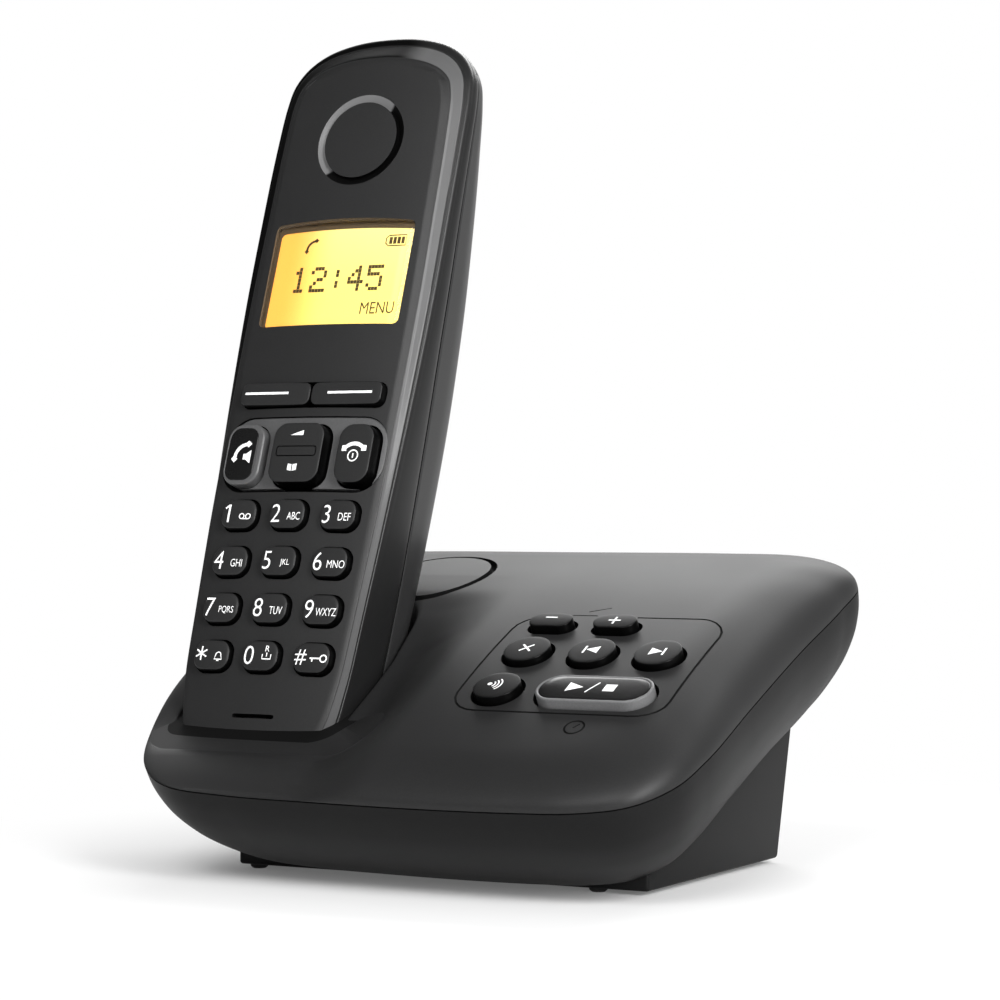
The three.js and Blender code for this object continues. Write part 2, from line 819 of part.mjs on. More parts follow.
for (const [name, x, y, width, height] of base_buttons) {
  const outline = roundedOutline(width, height, height * button_corner_share, [x, y]);
  add(base_group, name, placed(keyBody(outline, [x, y], button_foot, button_rise, button_flange), panel), 'key_black');
  panel_cuts.push(placedSolid(prism(inset(outline, -button_gap), -cut_reach, cut_reach), panel));
}

// The long play and stop button and the grey ring round it.
const play_middle = [(centre_column + right_column) / 2, front_row];
const play_corner = play_button_height * button_corner_share;
const play_outline = roundedOutline(play_button_width, play_button_height, play_corner, play_middle);
const play_inner = inset(play_outline, play_ring_width);
const play_ring = rimBody(play_outline, button_foot, play_ring_rise, button_flange, play_ring_width);
add(base_group, 'button_play_stop_ring', placed(play_ring, panel), 'grey_plastic');
const play_key = keyBody(inset(play_inner, gap), play_middle, button_foot, button_rise, 0);
add(base_group, 'button_play_stop', placed(play_key, panel), 'key_black');
panel_cuts.push(placedSolid(prism(inset(play_outline, -button_gap), -cut_reach, cut_reach), panel));

// Upper shell with the cradle cup.
const panel_line = roundedOutline(panel_width, panel_depth, panel_corner, [panel_across, panel_up]);
const disc_line = circleOutline(disc_radius, [disc_across, disc_up], disc_count);
const cup_depth = bowl_depth + seam_drop;
const tower = upperBody(base_wall / 2, -cup_depth);
const room = bowlBody(base_wall + gap).add(upperBody(base_wall / 2, 0));
const cup = placedSolid(cradleBody(pocket_gap + cup_wall), handset).intersect(tower).intersect(room);
const pin_holes = [];
const pads = [];
for (const side of [-1, 1]) {
  const across = side * charge_spacing / 2;
  const low = -pocket_gap - cup_wall - charge_pin_length;
  const pin_size = [charge_pin_width, charge_pin_length + cup_wall + pocket_gap + pad_sink - gap, charge_pin_width];
  const middle = [across, low + pin_size[1] / 2, -charge_depth];
  const side_name = side < 0 ? 'left' : 'right';
  add(base_group, `charge_pin_${side_name}`, placed(box(pin_size, middle), handset), 'metal');
  const hole_size = pin_size.map((size) => size + 2 * gap);
  pin_holes.push(placedSolid(box(hole_size, middle), handset));
  const pad_size = [charge_pad_width, charge_pad_length, charge_pad_height];
  const pad_middle = [across, pad_sink + charge_pad_length / 2, -charge_depth];
  add(handset_group, `charge_pad_${side_name}`, placed(box(pad_size, pad_middle), handset), 'metal');
  const recess = [charge_pad_width + 2 * gap, handset_wall + 2 * (pad_sink + gap), charge_pad_height + 2 * gap];
  pads.push(placedSolid(box(recess, [across, recess[1] / 2 - pad_sink, -charge_depth]), handset));
}
let upper = upperBody(0, 0).subtract(upperBody(base_wall, -overrun));
upper = upper.add(cup).subtract(placedSolid(cradleBody(pocket_gap), handset));
upper = upper.subtract(topGroove(panel_line, panel_line_width, panel_line_depth));
upper = upper.subtract(topGroove(disc_line, disc_line_width, disc_line_depth));
for (const cut of [...panel_cuts, ...pin_holes]) {
  upper = upper.subtract(cut);
}
add(base_group, 'base_upper_shell', upper, 'dark_shell');

// Lower shell with its feet, screws and sockets.
const wedge_room = (margin) => {
  const outline = inset(base_outline, wedge_inset + margin);
  return placedSolid(prism(outline, -2 * seam_height, 0), body).intersect(wedgeBody(margin));
};
let lower = bowlBody(0).add(wedge_room(0)).subtract(bowlBody(base_wall).add(wedge_room(base_wall)));
const underside = (outline, low, high) => solid(prism(outline, low, high));
for (const [index, side] of [-1, 1].entries()) {
  const side_name = index === 0 ? 'left' : 'right';
  const screw_middle = [side * screw_spacing / 2, screw_place];
  const screw_end = underside_height + screw_depth;
  lower = lower.add(underside(
    circleOutline(screw_boss_radius, screw_middle),
    underside_height + overrun,
    underside_height + screw_boss_height,
  ));
  lower = lower.subtract(underside(circleOutline(screw_radius + gap, screw_middle), -overrun, screw_end));
  const head_top = screw_end - gap;
  const head = underside(circleOutline(screw_radius, screw_middle), head_top - screw_height, head_top);
  const slot = [screw_radius * 2 + overrun, screw_slot_width, screw_slot_depth * 2];
  const slot_middle = [...screw_middle, head_top - screw_height];
  add(base_group, `base_screw_${side_name}`, head.subtract(solid(box(slot, slot_middle))), 'metal');

  const peg_middle = [peg_offset + side * peg_spacing / 2, peg_place];
  const peg = skin([
    level(circleOutline(peg_tip_radius, peg_middle), 0),
    level(circleOutline(peg_radius, peg_middle), peg_height / 2),
    level(circleOutline(peg_radius, peg_middle), peg_height),
  ]);
  add(base_group, `foot_peg_${side_name}`, peg, 'rubber');
  lower = lower.subtract(underside(circleOutline(peg_radius + gap, peg_middle), -overrun, peg_height + gap));

  const pad_middle = [side * pad_spacing / 2, pad_place];
  add(base_group, `foot_pad_${side_name}`, prism(circleOutline(pad_radius, pad_middle), 0, pad_height), 'rubber');
  lower = lower.subtract(underside(circleOutline(pad_radius + gap, pad_middle), -overrun, pad_height + gap));
}

lower = lower.subtract(placedSolid(cradleBody(pocket_gap), handset));
pin_holes.forEach((cut) => {
  lower = lower.subtract(cut);
});

// Rear frame of the wedge: across towards the left as seen from behind, up its face, out of it.
const rear_angle = Math.atan2(wedge_overhang, wedge_rise);
const rear = new THREE.Matrix4().makeBasis(
  new THREE.Vector3(-1, 0, 0),
  new THREE.Vector3(0, Math.sin(rear_angle), Math.cos(rear_angle)),
  new THREE.Vector3(0, Math.cos(rear_angle), -Math.sin(rear_angle)),
).setPosition(0, wedge_front + wedge_depth, underside_height);
const sockets = [
  ['power_socket', power_socket_across, power_hole_width, power_hole_height],
  ['line_socket', line_socket_across, line_hole_width, line_hole_height],
];
for (const [name, across, hole_width, hole_height] of sockets) {
  const middle = [across, socket_up, -gap - socket_length / 2];
  const block = placedSolid(box([socket_width, socket_height, socket_length], middle), rear);
  const hole = placedSolid(box(
    [hole_width, hole_height, 2 * socket_hole_depth],
    [across, socket_up, -gap],
  ), rear);
  add(base_group, name, block.subtract(hole), 'key_black');
  lower = lower.subtract(placedSolid(box(
    [socket_width + 2 * gap, socket_height + 2 * gap, socket_length],
    [across, socket_up, 0],
  ), rear));
}
add(base_group, 'base_lower_shell', lower, 'dark_shell');

// Mat and board under the buttons, and the loudspeaker under its disc.
const mat_outline = roundedOutline(
  panel_width - 2 * mat_margin,
  panel_depth - 2 * mat_margin,
  panel_corner - mat_margin,
);
add(base_group, 'base_key_mat', placed(prism(mat_outline, mat_top - mat_height, mat_top), panel), 'rubber');
const board_outline = inset(mat_outline, -board_margin);
add(base_group, 'base_board', placed(prism(board_outline, board_top - board_height, board_top), panel), 'board_green');
const speaker_top = surfaceAt(disc_across, disc_up) - base_wall - panel_sag - gap;
const speaker_middle = [disc_across, disc_up];
const speaker = skin([
  level(circleOutline(0.5 * speaker_radius, speaker_middle), speaker_top - speaker_height),
  level(circleOutline(0.55 * speaker_radius, speaker_middle), speaker_top - 0.6 * speaker_height),
  level(circleOutline(speaker_radius, speaker_middle), speaker_top - 0.35 * speaker_height),
  level(circleOutline(speaker_radius, speaker_middle), speaker_top),
]);
add(base_group, 'base_speaker', placed(speaker, body), 'speaker_black');

// Handset shells.
let front = placedSolid(frontBody(0), handset).subtract(placedSolid(frontBody(handset_wall), handset));
const through = handset_depth;
const cutFace = (outline) => {
  front = front.subtract(placedSolid(prism(outline, -front_depth / 2, through), handset));
};
// A piece of the face between two depths, inside an outline.
const facePiece = (outline, high, low) => placedSolid(prism(outline, -front_depth / 2, through), handset)
  .intersect(placedSolid(frontBody(high), handset))
  .subtract(placedSolid(frontBody(low), handset));

// Keys of the handset.
const flange_level = -key_foot_depth;
const key_foot = flange_level - key_flange_height;
const digit_names = ['1', '2', '3', '4', '5', '6', '7', '8', '9', 'star', '0', 'hash'];
const handset_keys = digit_names.map((name, index) => [
  `key_${name}`,
  (index % 3 - 1) * key_column_pitch,
  key_row_place + (3 - Math.floor(index / 3)) * key_row_pitch,
  digit_key_width, digit_key_height, digit_key_corner, digit_key_rise, 'key_black',
]);
for (const side of [-1, 1]) {
  const name = side < 0 ? 'soft_key_left' : 'soft_key_right';
  handset_keys.push([
    name, side * soft_key_across, soft_key_place,
    soft_key_width, soft_key_height, soft_key_corner, digit_key_rise, 'key_black',
  ]);
}
handset_keys.push([
  'end_key', call_key_across, call_key_place,
  call_key_width, call_key_height, call_key_corner, call_key_rise, 'key_black',
]);
handset_keys.push([
  'nav_rocker', 0, call_key_place, nav_width, nav_height, nav_corner, nav_rise, 'key_black',
]);
handset_keys.push([
  'talk_key_rim', -call_key_across, call_key_place,
  call_key_width, call_key_height, call_key_corner, talk_rim_rise, 'grey_plastic',
]);
const key_cuts = [];
for (const [name, x, y, width, height, corner, rise, finish] of handset_keys) {
  const outline = roundedOutline(width, height, corner, [x, y]);
  key_cuts.push(inset(outline, -key_gap));
  if (name !== 'talk_key_rim') {
    const key = keyBody(outline, [x, y], key_foot, faceAt(x) + rise, key_flange);
    add(handset_group, name, placed(key, handset), finish);
    continue;
  }
  const rim = rimBody(outline, key_foot, faceAt(x) + rise, key_flange, talk_rim_width);
  const inner = inset(outline, talk_rim_width);
  add(handset_group, name, placed(rim, handset), finish);
  const talk = keyBody(inset(inner, gap), [x, y], key_foot, faceAt(x) + call_key_rise, 0);
  add(handset_group, 'talk_key', placed(talk, handset), 'key_black');
}
key_cuts.forEach(cutFace);

// Grey plate round the call keys, let into the face.
const plate_outline = roundedOutline(plate_width, plate_height, plate_corner, [0, call_key_place]);
let plate = facePiece(plate_outline, 0, plate_thickness);
for (const outline of key_cuts) {
  plate = plate.subtract(placedSolid(prism(outline, -front_depth / 2, through), handset));
}
add(handset_group, 'call_key_plate', plate, 'grey_plastic');
front = front.subtract(facePiece(inset(plate_outline, -gap), -overrun, plate_thickness + gap));

// Window with an arched top edge, its ledge, and the display behind it.
const window_middle = window_place + window_height / 2;
const window_outline = roundedOutline(window_width, window_height, window_corner, [0, window_middle])
  .flatMap((point, index, all) => (index === 2 * (corner_steps + 1)
    ? [-0.5, 0, 0.5].reverse().map((share) => [share * window_width * 0.6, all[index][1]]).concat([point])
    : [point]))
  .map(([x, y]) => [x, y > window_middle ? y + window_arch * (1 - (2 * x / window_width) ** 2) : y]);
add(handset_group, 'lcd_window', facePiece(window_outline, gap / 2, gap / 2 + window_thickness), 'window_clear');
front = front.subtract(facePiece(inset(window_outline, -gap), -overrun, window_thickness + 1.5 * gap));
cutFace(inset(window_outline, window_ledge));
const display_outline = roundedOutline(
  window_width + display_margin,
  window_height + display_margin,
  window_corner,
  [0, window_middle],
);
const display_top = faceAt(window_width / 2) - handset_wall - gap;
add(
  handset_group,
  'lcd_module',
  placed(prism(display_outline, display_top - display_thickness, display_top), handset),
  'display_yellow',
);

// Earpiece ring, microphone slot and what lies behind them.
const ring_outer = circleOutline(earpiece_radius, [0, earpiece_place], disc_count);
const ring_inner = inset(ring_outer, earpiece_line_width);
front = front.subtract(
  facePiece(ring_outer, -overrun, earpiece_line_depth)
    .subtract(placedSolid(prism(ring_inner, -through, through), handset)),
);
const mic_corner = mic_slot_width * 0.49;
cutFace(roundedOutline(mic_slot_length, mic_slot_width, mic_corner, [0, mic_place]));
const earpiece_top = faceAt(earpiece_body_radius) - handset_wall - gap;
const earpiece = prism(
  circleOutline(earpiece_body_radius, [0, earpiece_place]),
  earpiece_top - earpiece_height,
  earpiece_top,
);
add(handset_group, 'earpiece', placed(earpiece, handset), 'speaker_black');
const mic_top = -handset_wall - gap;
const microphone = prism(circleOutline(mic_radius, [0, mic_place]), mic_top - mic_height, mic_top);
add(handset_group, 'microphone', placed(microphone, handset), 'speaker_black');
pads.forEach((cut) => {
  front = front.subtract(cut);
});
add(handset_group, 'handset_front', front, 'dark_shell');

// Keypad mat and board of the handset.
const handset_mat_top = key_foot - key_room;
const handset_board_top = handset_mat_top - mat_height - gap;
const slab = (width, start, end, top, height) => placed(prism(
  roundedOutline(width, end - start, door_corner, [0, (start + end) / 2]),
  top - height,
  top,
), handset);
add(
  handset_group,
  'keypad_mat',
  slab(handset_mat_width, handset_mat_start, handset_mat_end, handset_mat_top, mat_height),
  'rubber',
);
add(
  handset_group,
  'handset_board',
  slab(handset_board_width, handset_board_start, handset_board_end, handset_board_top, board_height),
  'board_green',
);

// Battery bay, cells, contacts and door.
const cell_end = battery_start + battery_length;
const cell_level = door_thickness + 2 * gap + battery_radius - backAt(cell_end);
const contact_room = battery_nub_length + contact_thickness + 2 * gap;
const bay_start = battery_start - contact_room;
const bay_end = cell_end + contact_room;
const bay_middle = [0, (bay_start + bay_end) / 2];
const cell_pitch = 2 * battery_radius + 2 * gap;
const bay_width = 2 * cell_pitch;
const bay_front = cell_level + battery_radius + gap;
const door_outline = roundedOutline(door_width, door_length, door_corner, bay_middle);
const block_outline = inset(door_outline, -ledge_reach);
const bay_block = placedSolid(prism(block_outline, cell_level, bay_front + bay_wall), handset);
const bay_back = placedSolid(prism(block_outline, -2 * handset_depth, cell_level + overrun), handset);
const back_full = placedSolid(backBody(0), handset);
const bay_room = roundedOutline(bay_width, bay_end - bay_start, gap, bay_middle);
const door_core = placedSolid(prism(door_outline, -2 * handset_depth, -front_depth - gap), handset);
const door_room = placedSolid(prism(inset(door_outline, -gap), -2 * handset_depth, -front_depth - gap), handset);
const back = back_full.subtract(placedSolid(backBody(handset_wall), handset))
  .add(bay_block)
  .add(bay_back.intersect(back_full))
  .subtract(placedSolid(prism(bay_room, -2 * handset_depth, bay_front), handset))
  .subtract(door_room.subtract(placedSolid(backBody(door_thickness + gap), handset)));
let back_shell = back;
for (const step of [-1, 0, 1]) {
  const slot = roundedOutline(
    ringer_slot_width,
    ringer_slot_length,
    ringer_slot_width * 0.49,
    [step * ringer_slot_pitch, ringer_place],
  );
  back_shell = back_shell.subtract(placedSolid(prism(slot, -2 * handset_depth, -front_depth), handset));
}
add(handset_group, 'handset_back', back_shell, 'dark_shell');
add(
  handset_group,
  'battery_door',
  door_core.intersect(back_full).subtract(placedSolid(backBody(door_thickness), handset)),
  'dark_shell',
);
const along_handset = new THREE.Matrix4().makeRotationX(-Math.PI / 2);
for (const side of [-1, 1]) {
  const side_name = side < 0 ? 'left' : 'right';
  const middle = [side * cell_pitch / 2, battery_start + battery_length / 2, cell_level];
  const reach = side * battery_length / 2;
  const nub = reach + side * battery_nub_length;
  const rows = [[battery_radius, -reach], [battery_radius, reach], [battery_nub_radius, reach], [battery_nub_radius, nub]];
  const cell = skin(rows.map(([radius, place]) => level(circleOutline(radius), place)))
    .applyMatrix4(along_handset)
    .translate(...middle);
  add(handset_group, `battery_${side_name}`, placed(cell, handset), 'cell_green');
}
const contact_height = battery_radius;
for (const [name, place] of [
  ['battery_contact_bottom', bay_start + gap + contact_thickness / 2],
  ['battery_contact_top', bay_end - gap - contact_thickness / 2],
]) {
  const contact = box([bay_width - 2 * gap - battery_radius, contact_thickness, contact_height], [0, place, cell_level]);
  add(handset_group, name, placed(contact, handset), 'metal');
}

// Ringer behind its slots.
const ringer_low = handset_wall + 2 * gap - backAt(ringer_place + ringer_radius);
const ringer = prism(circleOutline(ringer_radius, [0, ringer_place]), ringer_low, ringer_low + ringer_height);
add(handset_group, 'ringer', placed(ringer, handset), 'speaker_black');

// The middle of the whole, seen from above, goes to the zero point.
const middle = new THREE.Box3().setFromObject(group).getCenter(new THREE.Vector3());
group.traverse((item) => {
  if (item.isMesh) {
    item.geometry.translate(-middle.x, -middle.y, 0);
  }
});

export default group;
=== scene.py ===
"""A cordless telephone with an answering machine in its base, dressed for a product picture.

Sizes are in metres, +Z up, the front towards -Y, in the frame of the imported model.
"""

import math

import bmesh
import bpy
import numpy as np
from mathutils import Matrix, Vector


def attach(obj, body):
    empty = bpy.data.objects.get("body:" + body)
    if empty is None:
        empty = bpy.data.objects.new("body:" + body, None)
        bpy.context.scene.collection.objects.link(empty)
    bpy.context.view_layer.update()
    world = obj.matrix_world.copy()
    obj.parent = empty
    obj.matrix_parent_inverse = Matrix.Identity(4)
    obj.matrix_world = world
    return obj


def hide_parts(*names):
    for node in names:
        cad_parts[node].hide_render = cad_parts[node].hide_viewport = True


bl_info = {
    "name": "Answering machine with a cordless handset",
    "version": (1, 0, 0),
    "blender": (4, 5, 0),
    "location": "View3D > Sidebar > Phone",
    "description": "Builds the handset, its cradle base, the keys and the studio",
    "category": "Object",
}

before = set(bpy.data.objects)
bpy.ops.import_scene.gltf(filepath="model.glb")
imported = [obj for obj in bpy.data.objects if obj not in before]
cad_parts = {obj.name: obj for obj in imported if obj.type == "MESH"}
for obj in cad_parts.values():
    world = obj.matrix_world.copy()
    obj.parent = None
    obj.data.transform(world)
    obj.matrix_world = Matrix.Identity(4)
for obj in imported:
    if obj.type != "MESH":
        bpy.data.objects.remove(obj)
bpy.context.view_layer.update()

MM = 0.001


def length(title, millimetres, about):
    return bpy.props.FloatProperty(
        name=title, default=millimetres * MM, description=about, unit="LENGTH", precision=5
    )


def angle(title, degrees, about):
    return bpy.props.FloatProperty(
        name=title, default=math.radians(degrees), description=about, unit="ROTATION"
    )


def number(title, value, about):
    return bpy.props.FloatProperty(name=title, default=value, description=about)


def colour(title, value, about):
    return bpy.props.FloatVectorProperty(
        name=title, default=value, description=about, subtype="COLOR", size=3, min=0, max=1
    )


class BaseSizes(bpy.types.PropertyGroup):
    """Driving sizes of the base, the same as in the solid model."""

    middle_x: length("Middle across", 0.381, "What the solid model was moved by")
    middle_y: length("Middle along", 2.49, "What the solid model was moved by")
    tilt: angle("Body tilt", 22.5, "Slope of the body from the floor")
    width: length("Width", 134, "Width in the plane of the body")
    depth: length("Depth", 110, "Depth in the plane of the body")
    seam_height: length("Seam height", 39.4, "Height of the seam over the zero point")
    seam_gap: length("Seam gap", 0.3, "Gap between the two shells")
    crown_height: length("Crown height", 11.7, "Top of the pillow over the seam")
    crown_place: length("Crown place", 5, "Where the pillow is highest")
    crown_radius: length("Crown radius", 240, "Bend of the pillow along its depth")
    edge_share: number("Edge share", 0.23, "Share of the plan taken by the rounded edge")
    edge_power: number("Edge power", 2.2, "Fullness of the rounded edge")
    dish_depth: length("Dish depth", 11, "Sink of the top round the cradle")
    bowl_depth: length("Bowl depth", 27, "Depth of the lower shell under the seam")
    bowl_draw: number("Bowl draw", 0.245, "Draw of the bowl towards its bottom")
    bowl_focus: number("Bowl focus", 0.3, "Point the bowl draws towards")
    wedge_width: length("Wedge width", 93.4, "Width of the foot wedge")
    wedge_across: length("Wedge place", 3, "Middle of the wedge from the zero point")
    wedge_front: length("Wedge front", -19.6, "Front edge of the wedge")
    wedge_depth: length("Wedge depth", 62.2, "Depth of the wedge on the floor")
    wedge_rise: length("Wedge rise", 34.4, "Height of the rear of the wedge")
    wedge_overhang: length("Wedge overhang", 9.4, "Lean of the rear of the wedge")
    underside: length("Underside", 0.9, "Height of the underside over the floor")


class PanelSizes(bpy.types.PropertyGroup):
    """Driving sizes of the button panel and the disc."""

    tilt: angle("Panel tilt", 27.5, "Slope of the buttons from the floor")
    across: length("Panel across", 37, "Middle of the panel")
    up: length("Panel up", -16.4, "Middle of the panel up the body")
    line_across: length("Line across", 35.1, "Middle of the engraved line")
    line_up: length("Line up", -13.05, "Middle of the engraved line up the body")
    width: length("Panel width", 45.3, "Width inside the engraved line")
    depth: length("Panel depth", 37.3, "Depth inside the engraved line")
    corner: length("Panel corner", 6, "Corner of the engraved line")
    line_width: length("Line width", 0.5, "Width of the engraved line")
    shift_up: length("Button shift", 2.2, "Buttons up the slope from their solids")
    pitch: length("Button pitch", 14.26, "Between the columns")
    column_offset: length("Column offset", -1.7, "Middle column from the panel middle")
    volume_width: length("Volume key width", 9.4, "Volume keys")
    volume_height: length("Volume key height", 5.1, "Volume keys")
    round_width: length("Round button width", 9.6, "Delete, skip and paging buttons")
    round_height: length("Round button height", 9.4, "The same buttons and the play button")
    play_width: length("Play button width", 24.4, "Play and stop button with its rim")
    play_shift: length("Play button shift", -0.3, "From the middle of its two columns")
    button_foot: length("Button foot", -3.8, "Foot of the buttons under the panel")
    button_rise: length("Button rise", 1.4, "Top of the buttons over the panel")
    hole_gap: length("Hole gap", 0.7, "Gap round each button")
    disc_across: length("Disc across", -19.9, "Middle of the loudspeaker disc")
    disc_up: length("Disc up", 27.7, "Middle of the loudspeaker disc")
    disc_radius: length("Disc radius", 12.7, "Outer radius of its groove")
    disc_line: length("Disc line", 1.2, "Width of its groove")


class HandsetSizes(bpy.types.PropertyGroup):
    """Driving sizes of the handset; the keys' places are finer than in the solid model."""

    lean: angle("Lean", 19.4, "Lean of the handset from upright")
    across: length("Cradle across", -37.7, "Middle line of the handset")
    foot_place: length("Foot place", -28.4, "Bottom end of the face")
    foot_height: length("Foot height", 19.9, "Bottom end of the face")
    length: length("Length", 168, "Length along the face")
    width: length("Width", 47.7, "Widest width")
    depth: length("Depth", 24, "Deepest depth")
    front_depth: length("Front depth", 15.1, "Depth of the seam behind the face")
    chamfer: length("Chamfer", 3.6, "Width of the chamfer round the face")
    shoulder: length("Shoulder", 4.4, "Depth of the chamfer's outer edge")
    face_radius: length("Face radius", 181, "Bend of the face across")
    back_round: length("Back rounding", 8, "Rounding of the back")
    pocket_gap: length("Pocket gap", 0.8, "Room round the handset in its cradle")
    lip_round: length("Lip rounding", 0.9, "Rounded lip of the cradle")
    row_place: length("Lowest key row", 25, "From the bottom end")
    column_pitch: length("Key columns", 12.09, "Between the key columns")
    row_pitch: length("Key rows", 10.23, "Between the key rows")
    key_width: length("Key width", 8.6, "Digit keys")
    key_height: length("Key height", 6.5, "Digit keys")
    key_corner: length("Key corner", 2.5, "Digit keys")
    key_rise: length("Key rise", 1.6, "Digit keys over the face")
    key_gap: length("Key gap", 0.28, "Gap round each key")
    key_shift: length("Key shift", 0.3, "Keys to the right of the middle line")
    key_foot: length("Key foot", -2.9, "Foot of the keys under the face")
    soft_across: length("Soft keys across", 8.72, "Soft keys from the middle line")
    soft_place: length("Soft keys place", 82.5, "From the bottom end")
    soft_width: length("Soft key width", 17.2, "Soft keys")
    soft_height: length("Soft key height", 5.2, "Soft keys")
    soft_rise: length("Soft key rise", 1.3, "Soft keys over the face")
    call_across: length("Call keys across", 13.6, "Call keys from the middle line")
    call_place: length("Call keys place", 68.9, "From the bottom end")
    call_width: length("Call key width", 8.8, "Call keys")
    call_height: length("Call key height", 13.3, "Call keys")
    call_corner: length("Call key corner", 3.2, "Call keys")
    call_rise: length("Call key rise", 2.2, "Call keys over the face")
    nav_width: length("Rocker width", 12.7, "Up and down rocker")
    nav_height: length("Rocker height", 13.6, "Up and down rocker")
    nav_rise: length("Rocker rise", 2.4, "Up and down rocker")
    plate_width: length("Plate width", 39.4, "Grey plate round the call keys")
    plate_height: length("Plate height", 16, "Grey plate round the call keys")
    plate_place: length("Plate place", 69.7, "From the bottom end")
    window_width: length("Window width", 34.6, "Window")
    window_place: length("Window place", 98.5, "Lower edge of the window")
    window_height: length("Window height", 23.6, "Window")
    window_arch: length("Window arch", 0.8, "Arch of its top edge")
    ear_place: length("Earpiece place", 141.4, "Middle of the ring")
    ear_radius: length("Earpiece radius", 10.6, "Radius of the ring")
    ear_line: length("Earpiece line", 1.75, "Width of the ring's groove")
    mic_place: length("Slot place", 12.6, "Microphone slot")
    mic_length: length("Slot length", 10, "Microphone slot")
    mic_width: length("Slot width", 0.88, "Microphone slot")
    door_width: length("Door width", 29, "Battery door")
    door_length: length("Door length", 54, "Battery door")
    door_place: length("Door place", 73, "Middle of the battery door")


class Finishes(bpy.types.PropertyGroup):
    """Colours of the surfaces and strengths of the lights."""

    shell: colour("Shell", (0.012, 0.012, 0.0122), "Black plastic of the shells")
    face: colour("Face", (0.014, 0.014, 0.0142), "Front of the handset")
    back: colour("Back", (0.02, 0.02, 0.0202), "Back of the handset")
    under: colour("Underside", (0.008, 0.008, 0.0081), "Black plastic under the seam")
    # Band, chamfer and ring: the colour of a painted reflection on their lit side; elsewhere they
    # are painted black as shade.
    band: colour("Band", (0.009, 0.009, 0.0091), "Black gloss round the handset")
    chamfer: colour("Chamfer", (0.08, 0.08, 0.0806), "Edge of the face")
    ring: colour("Ring", (0.12, 0.12, 0.121), "Ring of the earpiece")
    key: colour("Keys", (0.017, 0.017, 0.0172), "Near-black keys")
    button: colour("Buttons", (0.007, 0.007, 0.0071), "Buttons of the base and the talk key")
    # Painted shade: the walls of the keys and buttons, a darker copy of their plastic.
    key_wall_painted_shade: colour("Key sides", (0.001, 0.001, 0.001), "Black walls of the keys")
    grey: colour("Grey", (0.07, 0.07, 0.071), "Grey rim and plate of the handset")
    rim: colour("Rim", (0.11, 0.11, 0.112), "Grey rim of the play button")
    legend: colour("Legends", (0.9, 0.9, 0.9), "White printing")
    display: colour("Display", (1.0, 0.84, 0.24), "Lit display")
    display_warm: colour("Display edge", (1.0, 0.52, 0.09), "Left edge of the display")
    ink: colour("Display ink", (0.09, 0.06, 0.02), "Characters on the display")
    floor: colour("Floor", (0.8, 0.8, 0.8), "Studio floor")
    key_light: number("Top light", 7.5, "Watts of the soft box overhead")
    side_light: number("Side light", 16.0, "Watts of the soft box at the right")
    fill_light: number("Front light", 7.0, "Watts of the soft box in front")
    world: number("World", 0.35, "Strength of the room for matt surfaces")


def base():
    return bpy.context.scene.phone_base


def panel():
    return bpy.context.scene.phone_panel


def handset():
    return bpy.context.scene.phone_handset


def finishes():
    return bpy.context.scene.phone_finishes


# Outlines and profiles as shares of the driving sizes.
OUTLINE_SHARES = (
    (-0.2067, -0.4964), (-0.0575, -0.5036), (0.1067, -0.5064), (0.2709, -0.5018),
    (0.3679, -0.4909), (0.4396, -0.4582), (0.4813, -0.3864), (0.4948, -0.2818),
    (0.4948, -0.0818), (0.497, 0.1455), (0.505, 0.335), (0.5, 0.436),
    (0.45, 0.488), (0.325, 0.5), (0.0022, 0.4964), (-0.2813, 0.4909),
    (-0.4007, 0.4691), (-0.4679, 0.4), (-0.4948, 0.2818), (-0.4993, 0.0727),
    (-0.4873, -0.1182), (-0.4485, -0.2727), (-0.3888, -0.4055), (-0.3142, -0.4745),
)
DISH_SHARES = (
    (-0.518, 0.4), (-0.464, 0.42), (-0.373, 0.58), (-0.255, 1), (-0.155, 0.87),
    (-0.082, 0.78), (-0.018, 0.67), (0.027, 0.51), (0.1, 0.24), (0.173, 0.04), (0.245, 0),
)
DISH_REACH = {"right": 23 * MM, "right_fade": 20 * MM, "left": 14 * MM, "left_fade": 16 * MM}
DISH_LEFT_SHARE = 0.62
BOWL_SHARES = (
    (0, 0), (0.1, 0.015), (0.28, 0.085), (0.5, 0.25), (0.74, 0.53), (0.93, 0.83), (1, 1),
)
HALF_SHARES = (
    (0, 0), (0.357, 0.003), (0.613, 0.0202), (0.76, 0.0595), (0.824, 0.119), (0.861, 0.208),
    (0.908, 0.321), (0.964, 0.476), (0.996, 0.625), (1, 0.744), (0.996, 0.845), (0.981, 0.907),
    (0.945, 0.9375), (0.832, 0.9637), (0.643, 0.9833), (0.349, 0.9961), (0, 1),
)
SPINE_SHARES = (0.11, 0.872)
CHAMFER_SHARES = (
    (0, 0.5), (0.075, 0.34), (0.1435, 0.24), (0.304, 0.34), (0.488, 0.62), (0.7176, 0.86),
    (0.89, 1), (1, 1.95),
)
SHOULDER_SHARES = (
    (0, 1.15), (0.1435, 1.15), (0.3, 1.12), (0.488, 1.05), (0.775, 1), (1, 1.22),
)
SEAM_SHARES = (
    (0, 0.9), (0.06, 0.95), (0.17, 1), (0.25, 0.96), (0.327, 0.887), (0.48, 0.718),
    (0.596, 0.605), (0.7155, 0.53), (0.8, 0.487), (0.88, 0.465), (1, 0.46),
)
BACK_SHARES = (
    (0, 0.72), (0.04, 0.896), (0.109, 0.98), (0.2, 1), (0.3, 0.99), (0.46, 0.942),
    (0.62, 0.831), (0.76, 0.68), (0.87, 0.52), (0.94, 0.42), (1, 0.345),
)
BACK_EDGE_SHARES = ((0, 0), (0.4, 0.006), (0.7, 0.05), (0.86, 0.18), (0.95, 0.42), (1, 1))
BUTTON_ROWS = (14.6 * MM, 3.1 * MM, -10.9 * MM)
